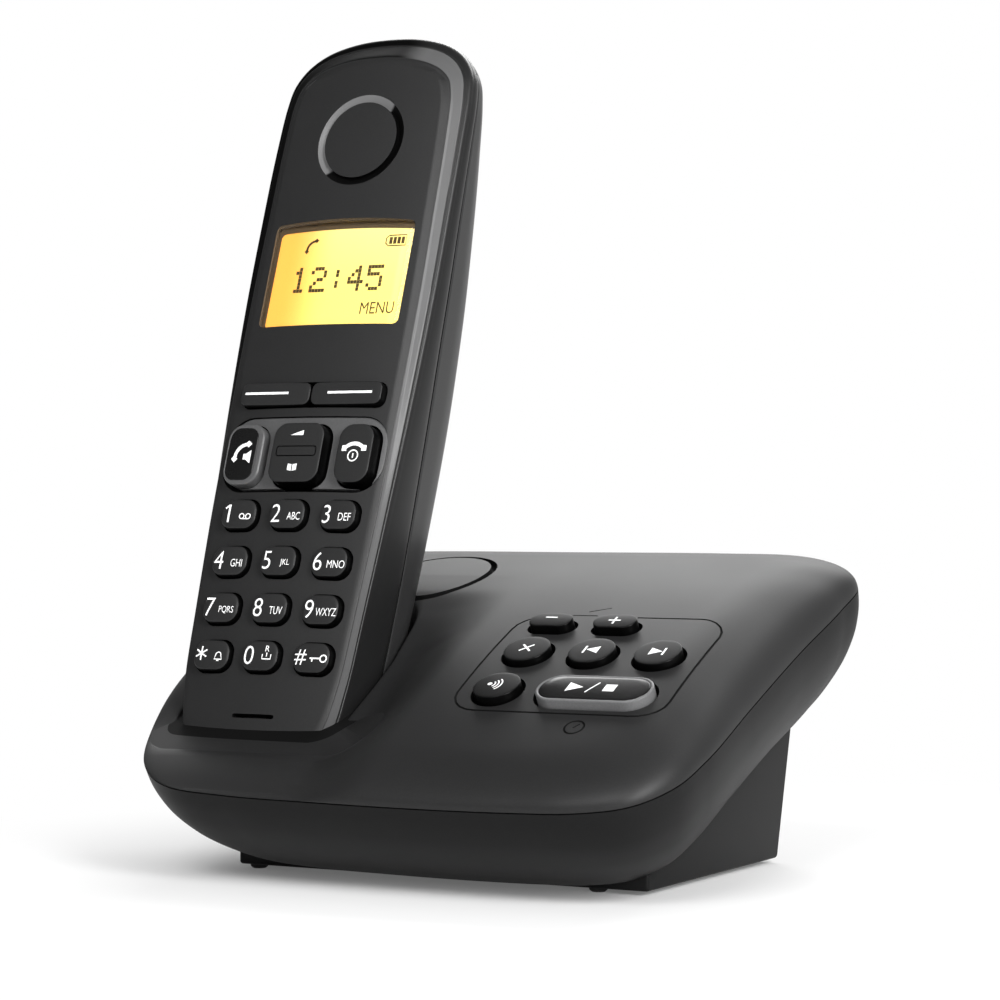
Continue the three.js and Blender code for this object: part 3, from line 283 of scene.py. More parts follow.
# Engraved strokes round the panel, and the gap in its line, in millimetres on the body.
STROKES = (((22.9, 6.1), (28.4, 6.1)), ((25.7, 7.9), (29.8, 10)), ((42.1, -36), (43.1, -34.8)))
ROUND_MARK = (42.3, -35.8)
LINE_BREAK = (22.9, 37.1)
# Radius and height of the feet from the floor up, and their places, in millimetres.
PEG = ((0.2, 0), (1.3, 0), (1.75, 0.35), (2, 1.2), (2, 2.5))
PAD = ((0.3, 0), (4.1, 0), (4.4, 0.12), (4.5, 0.4), (4.5, 1.5))
FEET = {
    "foot_peg_left": ((-40.5, -16.7), PEG),
    "foot_peg_right": ((37.6, -16.7), PEG),
    "foot_pad_left": ((-39, 34), PAD),
    "foot_pad_right": ((39, 34), PAD),
}
# How far the outlines of the base and the handset stay inside their solids.
BASE_INSIDE, HANDSET_INSIDE = 0.12 * MM, 0.1 * MM
SHELL_WALL = 2.2 * MM


def smooth_table(rows):
    """A smooth reading of a table of (place, value) rows, flat beyond its ends."""
    places = np.array([row[0] for row in rows], float)
    values = np.array([row[1] for row in rows], float)
    steps = np.diff(values) / np.diff(places)
    slopes = np.zeros(len(rows))
    for k in range(1, len(rows) - 1):
        if steps[k - 1] * steps[k] > 0:
            slopes[k] = 2 * steps[k - 1] * steps[k] / (steps[k - 1] + steps[k])
    slopes[0], slopes[-1] = steps[0], steps[-1]

    def read(place):
        place = np.clip(place, places[0], places[-1])
        k = np.clip(np.searchsorted(places, place, side="right") - 1, 0, len(rows) - 2)
        span = places[k + 1] - places[k]
        t = (place - places[k]) / span
        return (
            (1 + 2 * t) * (1 - t) ** 2 * values[k]
            + t * (1 - t) ** 2 * span * slopes[k]
            + t**2 * (3 - 2 * t) * values[k + 1]
            + t**2 * (t - 1) * span * slopes[k + 1]
        )

    return read


def smooth(share):
    t = np.clip(share, 0, 1)
    return t * t * (3 - 2 * t)


def closed_curve(points, count):
    """Points spaced evenly along a smooth closed curve through the given ones."""
    points = np.array(points, float)
    fine = []
    for k in range(len(points)):
        p0, p1, p2, p3 = (points[(k + step) % len(points)] for step in (-1, 0, 1, 2))
        ends = ((p0, p1), (p1, p2), (p2, p3))
        d0, d1, d2 = (max(np.linalg.norm(b - a) ** 0.5, 1e-9) for a, b in ends)
        m1 = (p1 - p0) / d0 - (p2 - p0) / (d0 + d1) + (p2 - p1) / d1
        m2 = (p2 - p1) / d1 - (p3 - p1) / (d1 + d2) + (p3 - p2) / d2
        t = np.linspace(0, 1, 60, endpoint=False)[:, None]
        fine.append(
            (2 * t**3 - 3 * t**2 + 1) * p1
            + (t**3 - 2 * t**2 + t) * m1 * d1
            + (3 * t**2 - 2 * t**3) * p2
            + (t**3 - t**2) * m2 * d1
        )
    fine = np.vstack(fine)
    return resampled(fine, count)


def resampled(loop, count):
    closed = np.vstack([loop, loop[:1]])
    run = np.concatenate([[0], np.cumsum(np.linalg.norm(np.diff(closed, axis=0), axis=1))])
    marks = np.linspace(0, run[-1], count, endpoint=False)
    return np.stack([np.interp(marks, run, closed[:, k]) for k in range(closed.shape[1])], 1)


def inset(outline, reach):
    """Moves a counter-clockwise outline inwards along its normals."""
    step = np.roll(outline, -1, 0) - np.roll(outline, 1, 0)
    step /= np.maximum(np.linalg.norm(step, axis=1, keepdims=True), 1e-12)
    reach = np.broadcast_to(reach, len(outline))
    return outline + np.stack([-step[:, 1], step[:, 0]], 1) * reach[:, None]


def rounded(width, height, corner, middle=(0, 0), arc=10, bow=0.0):
    """A rectangle with round corners; bow swells its sides a little."""
    points = []
    for sx, sy, start in ((1, -1, -90), (1, 1, 0), (-1, 1, 90), (-1, -1, 180)):
        for k in range(arc + 1):
            a = math.radians(start + 90 * k / arc)
            points.append((
                sx * (width / 2 - corner) + corner * math.cos(a),
                sy * (height / 2 - corner) + corner * math.sin(a),
            ))
    loop = resampled(np.array(points), 8 * arc)
    if bow:
        half = np.array([width, height]) / 2
        swell = np.clip(1 - (loop[:, ::-1] / half[::-1]) ** 2, 0, 1)
        loop = loop + np.sign(loop) * bow * swell * (np.abs(loop) > half - corner)
    return loop + np.array(middle)


def circle(radius, middle=(0, 0), count=64):
    a = np.linspace(0, 2 * math.pi, count, endpoint=False)
    return np.stack([middle[0] + radius * np.cos(a), middle[1] + radius * np.sin(a)], 1)


def level(outline, z):
    return np.column_stack([outline, np.broadcast_to(z, len(outline))])


def plane(tilt, origin):
    """A working plane: across, up the slope, out of it."""
    c, s = math.cos(tilt), math.sin(tilt)
    x, y, z = origin
    sizes = base()
    return np.array([
        [1, 0, 0, x - sizes.middle_x],
        [0, c, -s, y - sizes.middle_y],
        [0, s, c, z],
    ])


def to_world(frame_matrix, points):
    return points @ frame_matrix[:, :3].T + frame_matrix[:, 3]


def to_plane(frame_matrix, points):
    return (points - frame_matrix[:, 3]) @ frame_matrix[:, :3]


def floor_plane():
    return plane(0, (0, 0, 0))


def body_plane():
    return plane(base().tilt, (0, 0, base().seam_height))


def handset_plane():
    h = handset()
    return plane(math.pi / 2 - h.lean, (h.across, h.foot_place, h.foot_height))


def panel_plane():
    p = panel()
    z = top_level(np.array([p.across]), np.array([p.up]))[0]
    b = base()
    c, s = math.cos(b.tilt), math.sin(b.tilt)
    origin = (p.across, p.up * c - z * s, b.seam_height + p.up * s + z * c)
    return plane(p.tilt, origin)


def base_outline(count=1440):
    b = base()
    points = [(x * b.width, y * b.depth) for x, y in OUTLINE_SHARES]
    return inset(closed_curve(points, count), BASE_INSIDE)


DISH_READING = smooth_table(DISH_SHARES)
_reach = {}


def edge_share(x, y):
    """Share of the way from the edge of the base to its middle."""
    if not _reach:
        outline = base_outline()
        turn = np.arctan2(outline[:, 1], outline[:, 0])
        order = np.argsort(turn)
        _reach["turn"] = turn[order]
        _reach["far"] = np.hypot(outline[:, 0], outline[:, 1])[order]
    far = np.interp(np.arctan2(y, x), _reach["turn"], _reach["far"], period=2 * math.pi)
    return np.clip(1 - np.hypot(x, y) / far, 0, 1)


def top_level(x, y):
    """Height of the top of the base over the seam."""
    b = base()
    crown = b.crown_height - (y - b.crown_place) ** 2 / (2 * b.crown_radius)
    across = x - handset().across
    right = 1 - smooth((across - DISH_REACH["right"]) / DISH_REACH["right_fade"])
    fade = smooth((-across - DISH_REACH["left"]) / DISH_REACH["left_fade"])
    left = 1 - (1 - DISH_LEFT_SHARE) * fade
    dish = b.dish_depth * DISH_READING(y / b.depth) * right * left
    t = np.clip(edge_share(x, y) / b.edge_share, 0, 1)
    return (crown - dish) * (1 - (1 - t) ** b.edge_power) ** (1 / b.edge_power)


def on_top(loop):
    """A loop in plan laid on the top of the base."""
    return level(loop, top_level(loop[:, 0], loop[:, 1]))


CHAMFER = smooth_table(CHAMFER_SHARES)
SHOULDER = smooth_table(SHOULDER_SHARES)
SEAM = smooth_table(SEAM_SHARES)
BACK = smooth_table(BACK_SHARES)
HALF = smooth_table([(v, x) for x, v in HALF_SHARES[:9]])


def face_level(x):
    return -x * x / (2 * handset().face_radius)


def handset_outline(count=480):
    h = handset()
    right = [(x * h.width / 2, v * h.length) for x, v in HALF_SHARES]
    left = [(-x, v) for x, v in right[1:-1]][::-1]
    return inset(closed_curve(right + left, count), HANDSET_INSIDE)


class Shape:
    """Points and faces gathered for one mesh, with a material number for each face."""

    def __init__(self):
        self.points = []
        self.faces = []
        self.slots = []
        self.total = 0

    def skin(self, rings, slot=0, low=True, high=True, loop=False):
        """Joins rings of equal count; low and high close the ends, loop joins them."""
        rings = [np.asarray(ring, float) for ring in rings]
        count = len(rings[0])
        start = self.total
        self.points.extend(rings)
        self.total += count * len(rings)
        slots = slot if isinstance(slot, (list, tuple)) else [slot] * (len(rings) + 1)
        bands = len(rings) if loop else len(rings) - 1
        for k in range(bands):
            a, b = start + k * count, start + (k + 1) % len(rings) * count
            for i in range(count):
                j = (i + 1) % count
                self.faces.append((a + i, a + j, b + j, b + i))
                self.slots.append(slots[k])
        if loop:
            return self
        if low:
            self.faces.append(tuple(range(start + count - 1, start - 1, -1)))
            self.slots.append(slots[0])
        if high:
            last = start + (len(rings) - 1) * count
            self.faces.append(tuple(range(last, last + count)))
            self.slots.append(slots[len(rings) - 2])
        return self

    def object(self, name, materials, weld=1e-7):
        mesh = bpy.data.meshes.new(name)
        mesh.from_pydata([tuple(p) for p in np.vstack(self.points)], [], self.faces)
        mesh.polygons.foreach_set("material_index", self.slots)
        for finish in materials:
            mesh.materials.append(finish)
        obj = bpy.data.objects.new(name, mesh)
        bpy.context.collection.objects.link(obj)
        tidy(obj, weld)
        return obj


def tidy(obj, weld=1e-7):
    """Welds double points and turns the faces outwards."""
    work = bmesh.new()
    work.from_mesh(obj.data)
    if weld:
        bmesh.ops.remove_doubles(work, verts=work.verts, dist=weld)
    bmesh.ops.recalc_face_normals(work, faces=work.faces)
    work.to_mesh(obj.data)
    work.free()


def smooth_shaded(obj, sharp_degrees=32):
    obj.data.shade_smooth()
    obj.data.set_sharp_from_angle(angle=math.radians(sharp_degrees))
    return obj


def cut(obj, shape, keep=False):
    """Cuts a shape out of an object for good, or keeps only what lies inside it."""
    tool = shape.object(obj.name + "_tool", [])
    modifier = obj.modifiers.new("cut", "BOOLEAN")
    modifier.operation = "INTERSECT" if keep else "DIFFERENCE"
    modifier.solver = "EXACT"
    modifier.object = tool
    modifier.material_mode = "INDEX"
    graph = bpy.context.evaluated_depsgraph_get()
    mesh = bpy.data.meshes.new_from_object(obj.evaluated_get(graph))
    obj.modifiers.remove(modifier)
    old = obj.data
    obj.data = mesh
    mesh.name = obj.name
    bpy.data.meshes.remove(old)
    bpy.data.objects.remove(tool)
    return obj


def prism(outline, low, high, frame_matrix, slot=0, shape=None):
    shape = shape or Shape()
    rings = [to_world(frame_matrix, level(outline, z)) for z in (low, high)]
    return shape.skin(rings, slot)


def beside(ahead):
    """Unit vectors to the side of a path and up from it, from the way it runs."""
    ahead /= np.linalg.norm(ahead, axis=1, keepdims=True)
    side = np.cross(ahead, [0, 0, 1])
    side /= np.linalg.norm(side, axis=1, keepdims=True)
    return side, np.cross(side, ahead)


def tube(path, radius, frame_matrix, shape, sides=12):
    """A round bead along a closed path of points in a plane's frame."""
    side, up = beside(np.roll(path, -1, 0) - np.roll(path, 1, 0))
    rings = []
    for k in range(sides):
        a = 2 * math.pi * k / sides
        ring = path + radius * (math.cos(a) * side + math.sin(a) * up)
        rings.append(to_world(frame_matrix, ring))
    return shape.skin(rings, 1, loop=True)


def trench(path, radius, frame_matrix, shape, sides=8):
    """A round bead along an open path of points in a plane's frame."""
    turn = np.arange(sides) * 2 * math.pi / sides
    rings = []
    for point, side, up in zip(path, *beside(np.gradient(path, axis=0))):
        ring = point + radius * (np.outer(np.cos(turn), side) + np.outer(np.sin(turn), up))
        rings.append(to_world(frame_matrix, ring))
    return shape.skin(rings, 1)


def groove(path, outer, deep, frame_matrix, slot, shape, inner=None, slope=0.0):
    """A bead along a closed path with straight sides; the outer one may slope."""
    inner = -outer if inner is None else inner
    ahead = np.roll(path, -1, 0) - np.roll(path, 1, 0)
    ahead /= np.linalg.norm(ahead, axis=1, keepdims=True)
    side = np.cross(ahead, [0, 0, 1])
    over = 2 * MM
    clear = slope * over / deep
    rings = []
    for reach, rise in (
        (inner, over), (inner, -deep), (outer - slope, -deep), (outer + clear, over),
    ):
        reach = np.broadcast_to(reach, len(path))[:, None]
        rings.append(to_world(frame_matrix, path + side * reach + np.array([0, 0, rise])))
    return shape.skin(rings, slot, loop=True)


def rim_shape(outline, foot, top, reach, drop, crest, frame_matrix):
    """A closed rim: its outer wall, a rounded edge, the crest and its inner wall."""
    rings = [level(outline, foot)]
    for step in range(5):
        a = math.pi / 2 * step / 4
        ring = inset(outline, reach * (1 - math.cos(a)))
        rings.append(level(ring, top - drop * (1 - math.sin(a))))
    rings += [*crest, level(crest[-1][:, :2], foot)]
    return Shape().skin([to_world(frame_matrix, ring) for ring in rings], loop=True)


def dress(obj, body, *nodes, slot=None):
    if nodes:
        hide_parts(*nodes)
    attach(obj, body)
    return obj


class Value:
    """A shader socket that takes part in sums; other nodes come from its node method."""

    def __init__(self, tree, socket):
        self.tree = tree
        self.socket = socket

    def node(self, kind, settings=None, inputs=None, output=0):
        made = self.tree.nodes.new(kind)
        for name, value in (settings or {}).items():
            setattr(made, name, value)
        for name, value in (inputs or {}).items():
            if isinstance(value, Value):
                self.tree.links.new(value.socket, made.inputs[name])
            else:
                made.inputs[name].default_value = value
        return Value(self.tree, made.outputs[output])

    def maths(self, operation, *values):
        return self.node("ShaderNodeMath", {"operation": operation}, dict(enumerate(values)))

    def __add__(self, other):
        return self.maths("ADD", self, other)

    def __radd__(self, other):
        return self.maths("ADD", other, self)

    def __sub__(self, other):
        return self.maths("SUBTRACT", self, other)

    def __rsub__(self, other):
        return self.maths("SUBTRACT", other, self)

    def __mul__(self, other):
        return self.maths("MULTIPLY", self, other)

    def __rmul__(self, other):
        return self.maths("MULTIPLY", other, self)

    def __truediv__(self, other):
        return self.maths("DIVIDE", self, other)

    def larger(self, other):
        return self.maths("MAXIMUM", self, other)

    def axis(self, index):
        """One axis of a vector."""
        return self.node("ShaderNodeSeparateXYZ", None, {"Vector": self}, index)

    def smooth(self, low, high):
        return self.node(
            "ShaderNodeMapRange",
            {"interpolation_type": "SMOOTHSTEP"},
            {"Value": self, "From Min": low, "From Max": high},
        )

    def mix(self, first, second):
        """A colour between two, by this value."""
        return self.node(
            "ShaderNodeMix",
            {"data_type": "RGBA"},
            {0: self, 6: first, 7: second},
            2,
        )


def shader(name):
    """A new material, its Principled shader, and its place in the object as a value."""
    material = bpy.data.materials.new(name)
    material.use_nodes = True
    tree = material.node_tree
    principled = tree.nodes["Principled BSDF"]
    place = Value(tree, tree.nodes.new("ShaderNodeTexCoord").outputs["Object"])
    return material, principled, place


def feed(place, target, name, value):
    if isinstance(value, Value):
        place.tree.links.new(value.socket, target.inputs[name])
    else:
        target.inputs[name].default_value = value


def rgba(rgb, share=1.0):
    return (rgb[0] * share, rgb[1] * share, rgb[2] * share, 1)


def rays(tree):
    """Whether a ray comes from the camera, off a gloss or through glass, as three values."""
    path = tree.nodes.new("ShaderNodeLightPath")
    names = ("Is Camera Ray", "Is Glossy Ray", "Is Transmission Ray")
    return [Value(tree, path.outputs[name]) for name in names]


def noise(place, scale, detail=2.0):
    inputs = {"Vector": place, "Scale": scale, "Detail": detail}
    return place.node("ShaderNodeTexNoise", None, inputs)


def plastic(name, rgb, roughness, grain=0.35 * MM, height=0.02 * MM, gloss=0.5):
    """Moulded plastic: fine spark-eroded grain, faint mottling and uneven sheen."""
    material, principled, place = shader(name)
    fine = noise(place, 1 / grain, 3.0)
    broad = noise(place, 45.0)
    mottle = fine.smooth(0.35, 0.7) * 0.5 + broad * 0.5
    feed(place, principled, "Base Color", mottle.mix(rgba(rgb, 0.86), rgba(rgb, 1.14)))
    feed(place, principled, "Roughness", roughness - 0.03 + broad * 0.06)
    bump = {"Height": fine, "Strength": 0.35, "Distance": height}
    feed(place, principled, "Normal", place.node("ShaderNodeBump", None, bump))
    principled.inputs["Specular IOR Level"].default_value = gloss
    return material


def painted_side_light(name, rgb, side, roughness):
    """Polished edge plastic that runs from black to grey round its piece: painted shade on the
    black side, a painted reflection with a coat sheen on the grey side.
    """
    material, principled, place = shader(name)
    # The share paints light by place: 0 is painted shade, 1 the colour and coat of a painted
    # reflection.
    share = side(place.axis(0), place.axis(2))
    broad = noise(place, 90.0)
    tint = broad.mix(rgba(rgb, 0.92), rgba(rgb, 1.08))
    feed(place, principled, "Base Color", share.mix((0.0015, 0.0015, 0.0015, 1), tint))
    feed(place, principled, "Coat Weight", share * 0.5)
    feed(place, principled, "Roughness", roughness - 0.02 + broad * 0.04)
    principled.inputs["Coat Roughness"].default_value = 0.4
    principled.inputs["Specular IOR Level"].default_value = 0.08
    return material


def painted_edge_light(x, z):
    """Painted light: grey on the right of the handset as a painted reflection, black on its left
    and over its top as painted shade.
    """
    across = x - (handset().across - base().middle_x)
    return across.smooth(5 * MM, 12 * MM)


def painted_ring_light(x, z):
    """Painted light on the earpiece's ring: grey on its upper left as a painted reflection, black
    on its lower right as painted shade.
    """
    middle = to_world(handset_plane(), np.array([0, handset().ear_place, 0]))
    toward = (x - float(middle[0])) * 0.74 - (z - float(middle[2])) * 0.71
    return 1 - toward.smooth(-0.4 * MM, 0.4 * MM)


def metal(name, rgb, roughness):
    """Plated sheet with fine brushing across it."""
    material, principled, place = shader(name)
    stretch = {"Vector": place, "Scale": (400.0, 400.0, 6000.0)}
    brushing = noise(place.node("ShaderNodeMapping", None, stretch), 1.0)
    feed(place, principled, "Base Color", brushing.mix(rgba(rgb, 0.85), rgba(rgb, 1.1)))
    feed(place, principled, "Roughness", roughness + brushing * 0.12)
    principled.inputs["Metallic"].default_value = 1
    return material


def printing(name, rgb, roughness=0.45):
    """Screen-printed ink with faint unevenness."""
    material, principled, place = shader(name)
    worn = noise(place, 2500.0)
    feed(place, principled, "Base Color", worn.mix(rgba(rgb, 0.94), rgba(rgb)))
    principled.inputs["Roughness"].default_value = roughness
    return material


def lit_display(name):
    """The lit display: yellow, warmer along its left edge and paler towards its top."""
    f, h = finishes(), handset()
    material, principled, place = shader(name)
    left = h.across - base().middle_x - h.window_width / 2
    warm = 1 - ((place.axis(0) - left) / h.window_width).smooth(0.1, 0.45)
    low = h.foot_height + h.window_place * math.cos(h.lean)
    paler = ((place.axis(2) - low) / h.window_height).smooth(0.2, 1.6)
    plain = paler.mix(rgba(f.display), (1.0, 0.88, 0.42, 1))
    tint = warm.mix(plain, rgba(f.display_warm))
    feed(place, principled, "Base Color", tint)
    feed(place, principled, "Emission Color", tint)
    principled.inputs["Emission Strength"].default_value = 0.62
    principled.inputs["Roughness"].default_value = 0.5
    return material


def clear_window(name):
    """Thin clear plastic: mostly see-through, with a gloss that grows at a slant."""
    material = bpy.data.materials.new(name)
    material.use_nodes = True
    tree = material.node_tree
    tree.nodes.clear()
    out = tree.nodes.new("ShaderNodeOutputMaterial")
    clear = tree.nodes.new("ShaderNodeBsdfTransparent")
    clear.inputs["Color"].default_value = (1.0, 0.985, 0.95, 1)
    gloss = tree.nodes.new("ShaderNodeBsdfGlossy")
    gloss.inputs["Roughness"].default_value = 0.06
    slant = tree.nodes.new("ShaderNodeFresnel")
    slant.inputs["IOR"].default_value = 1.3
    mixed = tree.nodes.new("ShaderNodeMixShader")
    tree.links.new(slant.outputs[0], mixed.inputs[0])
    tree.links.new(clear.outputs[0], mixed.inputs[1])
    tree.links.new(gloss.outputs[0], mixed.inputs[2])
    tree.links.new(mixed.outputs[0], out.inputs["Surface"])
    return material


_materials = {}


def material(name):
    """Each finish is made once, when it is first asked for."""
    if name not in _materials:
        f = finishes()
        makers = {
            "shell": lambda: plastic("black_plastic", f.shell, 0.5, gloss=0.28),
            "under": lambda: plastic("under_plastic", f.under, 0.5, gloss=0.1),
            "face": lambda: plastic("face_plastic", f.face, 0.42, gloss=0.35),
            # Painted light: these three run from painted shade to a painted reflection by place
            # round the handset.
            "band": lambda: painted_side_light("black_gloss", f.band, painted_edge_light, 0.34),
            "chamfer": lambda: painted_side_light("face_edge", f.chamfer, painted_edge_light, 0.48),
            "ring": lambda: painted_side_light("ring_plastic", f.ring, painted_ring_light, 0.4),
            "back": lambda: plastic("back_plastic", f.back, 0.3, height=0.01 * MM),
            "button": lambda: plastic("button_black", f.button, 0.36, grain=0.2 * MM, gloss=0.08),
            "key": lambda: plastic("key_black", f.key, 0.42, grain=0.2 * MM, gloss=0.2),
            # Painted shade on the walls of keys and buttons.
            "key_wall_painted_shade": lambda: plastic("key_wall_painted_shade", f.key_wall_painted_shade, 0.3, height=0.004 * MM, gloss=0.1),
            "key_gloss": lambda: plastic("key_gloss", f.button, 0.16, height=0.002 * MM, gloss=0.2),
            "grey": lambda: plastic("grey_plastic", f.grey, 0.34),
            "rim": lambda: plastic("rim_plastic", f.rim, 0.4, gloss=0.3),
            # Near-black on the cut walls of holes, grooves and seam gaps is painted shade in
            # recesses; on the inner speaker, earpiece, microphone and ringer it is their own black.
            "black_and_recess_shade": lambda: plastic("inner_black_and_recess_shade", (0.003,) * 3, 0.7, gloss=0.1),
            "rubber": lambda: plastic("rubber", (0.02,) * 3, 0.75, height=0.05 * MM, gloss=0.3),
            "board": lambda: plastic("board_green", (0.02, 0.11, 0.05), 0.4),
            "cell": lambda: plastic("cell_sleeve", (0.04, 0.2, 0.08), 0.3, height=0.004 * MM),
            "metal": lambda: metal("plated_contact", (0.78, 0.76, 0.72), 0.22),
            "legend": lambda: printing("white_print", f.legend),
            "ink": lambda: printing("display_ink", f.ink, 0.6),
            "display": lambda: lit_display("display_lit"),
            "window": lambda: clear_window("window_clear"),
            "reveal": lambda: plastic("window_reveal", (0.12, 0.085, 0.05), 0.5, height=0.004 * MM),
        }
        _materials[name] = makers[name]()
    return _materials[name]


class Print:
    """Flat signs drawn in millimetres from a middle, laid on a surface as thin ink."""

    def __init__(self, middle=(0, 0)):
        self.middle = middle
        self.points = []
        self.faces = []

    def add(self, points, faces):
        start = len(self.points)
        left, low = self.middle
        self.points.extend((float(left + x * MM), float(low + y * MM)) for x, y in points)
        self.faces.extend(tuple(start + i for i in face) for face in faces)

    def area(self, points):
        self.add(points, [tuple(range(len(points)))])

    def line(self, points, width, closed=False):
        points = np.array(points, float)
        count = len(points)
        ahead = np.gradient(points, axis=0)
        if closed:
            ahead = np.roll(points, -1, 0) - np.roll(points, 1, 0)
        ahead /= np.maximum(np.linalg.norm(ahead, axis=1, keepdims=True), 1e-12)
        side = np.stack([-ahead[:, 1], ahead[:, 0]], 1) * width / 2
        steps = range(count if closed else count - 1)
        faces = [(i, (i + 1) % count, count + (i + 1) % count, count + i) for i in steps]
        self.add(np.vstack([points - side, points + side]), faces)

    def words(self, text, size, place, narrow=1.0, bold=0.0):
        """Lettering of a height, centred on a place."""
        curve = bpy.data.curves.new("words", "FONT")
        curve.body = text
        curve.size = 1
        curve.offset = bold
        curve.resolution_u = 4
        obj = bpy.data.objects.new("words", curve)
        bpy.context.collection.objects.link(obj)
        mesh = bpy.data.meshes.new_from_object(obj)
        points = np.array([v.co[:2] for v in mesh.vertices])
        faces = [tuple(p.vertices) for p in mesh.polygons]
        bpy.data.objects.remove(obj)
        bpy.data.curves.remove(curve)
        bpy.data.meshes.remove(mesh)
        low, high = points.min(0), points.max(0)
        points = (points - (low + high) / 2) * size / (high[1] - low[1])
        self.add(points * (narrow, 1) + np.array(place), faces)

    def object(self, name, frame_matrix, height, material_name, parent, lift=0.03 * MM):
        mesh = bpy.data.meshes.new(name)
        mesh.from_pydata([(x, y, 0) for x, y in self.points], [], self.faces)
        work = bmesh.new()
        work.from_mesh(mesh)
        bmesh.ops.triangulate(work, faces=work.faces)
        for _ in range(6):
            far = [edge for edge in work.edges if edge.calc_length() > 0.45 * MM]
            if far:
                bmesh.ops.subdivide_edges(work, edges=far, cuts=1)
                bmesh.ops.triangulate(work, faces=work.faces)
        flat = np.array([vert.co[:2] for vert in work.verts])
        raised = np.column_stack([flat, height(flat[:, 0], flat[:, 1]) + lift])
        for vert, place in zip(work.verts, to_world(frame_matrix, raised)):
            vert.co = place
        work.to_mesh(mesh)
        work.free()
        mesh.materials.append(material(material_name))
        obj = bpy.data.objects.new(name, mesh)
        bpy.context.collection.objects.link(obj)
        obj.parent = parent
        return obj


def box(left, low, right, high):
    return [(left, low), (right, low), (right, high), (left, high)]


def arc_points(middle, radius, start, end, count=14):
    turn = np.radians(np.linspace(start, end, count))
    return np.stack([middle[0] + radius * np.cos(turn), middle[1] + radius * np.sin(turn)], 1)


class Cap:
    """A push button's form: walls with draft, a rounded edge and a domed top."""

    def __init__(self, outline, middle, foot, top, edge, dome, draft=0.0):
        self.outline, self.middle = outline, np.array(middle)
        self.foot, self.top, self.edge, self.dome, self.draft = foot, top, edge, dome, draft
        self.half = np.abs(outline - self.middle).max(0)

    def height(self, x, y):
        """Level of the domed top at a place in the plane."""
        across = (np.asarray(x) - self.middle[0]) / self.half[0]
        along = (np.asarray(y) - self.middle[1]) / self.half[1]
        return self.top - self.dome * (across**2 + along**2)

    def build(self, frame_matrix, shape=None, slot=0, wall_slot=None):
        shape = shape or Shape()
        wall = slot if wall_slot is None else wall_slot
        rings = [level(self.outline, self.foot)]
        slots = [wall]
        crest = inset(self.outline, self.draft)
        for step in range(7):
            a = math.pi / 2 * step / 6
            ring = inset(crest, self.edge * (1 - math.cos(a)))
            rim = self.height(ring[:, 0], ring[:, 1])
            rings.append(level(ring, rim - self.edge * (1 - math.sin(a))))
            slots.append(wall if step < 3 else slot)
        last = inset(crest, self.edge)
        for share in (0.15, 0.35, 0.6, 0.85):
            ring = last + (self.middle - last) * share
            rings.append(level(ring, self.height(ring[:, 0], ring[:, 1])))
            slots.append(slot)
        world = [to_world(frame_matrix, ring) for ring in rings]
        return shape.skin(world, slots)


# Base.
def cradle_ring(place, grow, count):
    """Section of the room in the cradle at places along the handset, one per point."""
    h = handset()
    place = np.broadcast_to(place, count).astype(float)
    share = (place + 0.6 * MM) / h.length
    half = h.width / 2 * HALF(share) + grow
    deep = h.depth * BACK(share) + grow
    front, back = 3 * MM, 4.5 * MM
    side = deep + grow - front - back
    quarter = math.pi / 2

    def line(x, n, dx, dn):
        return lambda t: (x + dx * t, n + dn * t)

    def turn(x, n, radius, start):
        return lambda t: (
            x + radius * np.cos(quarter * (start + t)), n + radius * np.sin(quarter * (start + t))
        )

    # Round the section from the middle of its back: each stretch with its length.
    walk = (
        (half - back, line(0, -deep, half - back, 0)),
        (back * quarter, turn(half - back, back - deep, back, -1)),
        (side, line(half, back - deep, 0, side)),
        (front * quarter, turn(half - front, grow - front, front, 0)),
        (2 * (half - front), line(half - front, grow, -2 * (half - front), 0)),
        (front * quarter, turn(front - half, grow - front, front, 1)),
        (side, line(-half, grow - front, 0, -side)),
        (back * quarter, turn(back - half, back - deep, back, 2)),
        (half - back, line(back - half, -deep, half - back, 0)),
    )
    at = np.arange(count) / count * sum(run for run, _ in walk)
    x, n, begun = np.zeros(count), np.zeros(count), np.zeros(count)
    for run, point in walk:
        inside = (at >= begun - 1e-12) & (at < begun + run + 1e-12)
        px, pn = point(np.clip((at - begun) / np.maximum(run, 1e-9), 0, 1))
        x, n = np.where(inside, px, x), np.where(inside, pn, n)
        begun = begun + run
    return np.column_stack([x, place, n])


def opening(grow, count):
    """Where the walls of the cradle's room meet the top of the base, in the plane of the body."""
    body, hand = body_plane(), handset_plane()
    low, high = np.full(count, -4 * MM), np.full(count, 60 * MM)
    for _ in range(34):
        middle = (low + high) / 2
        place = to_plane(body, to_world(hand, cradle_ring(middle, grow, count)))
        under = place[:, 2] < top_level(place[:, 0], place[:, 1])
        low, high = np.where(under, middle, low), np.where(under, high, middle)
    return low, to_plane(body, to_world(hand, cradle_ring(low, grow, count)))


def base_buttons():
    """Name, middle, width and height of each round or oval button, in the panel plane."""
    p = panel()
    columns = [p.column_offset + step * p.pitch for step in (-1, 0, 1)]
    back, middle, front = (row + p.shift_up for row in BUTTON_ROWS)
    volume = (p.volume_width, p.volume_height)
    button = (p.round_width, p.round_height)
    play = (columns[1] + columns[2]) / 2 + p.play_shift
    return {
        "button_volume_down": ((columns[0], back), *volume),
        "button_volume_up": ((columns[1], back), *volume),
        "button_delete": ((columns[0], middle), *button),
        "button_previous": ((columns[1], middle), *button),
        "button_next": ((columns[2], middle), *button),
        "button_paging": ((columns[0], front), *button),
        "button_play_stop_ring": ((play, front), p.play_width, p.round_height),
    }


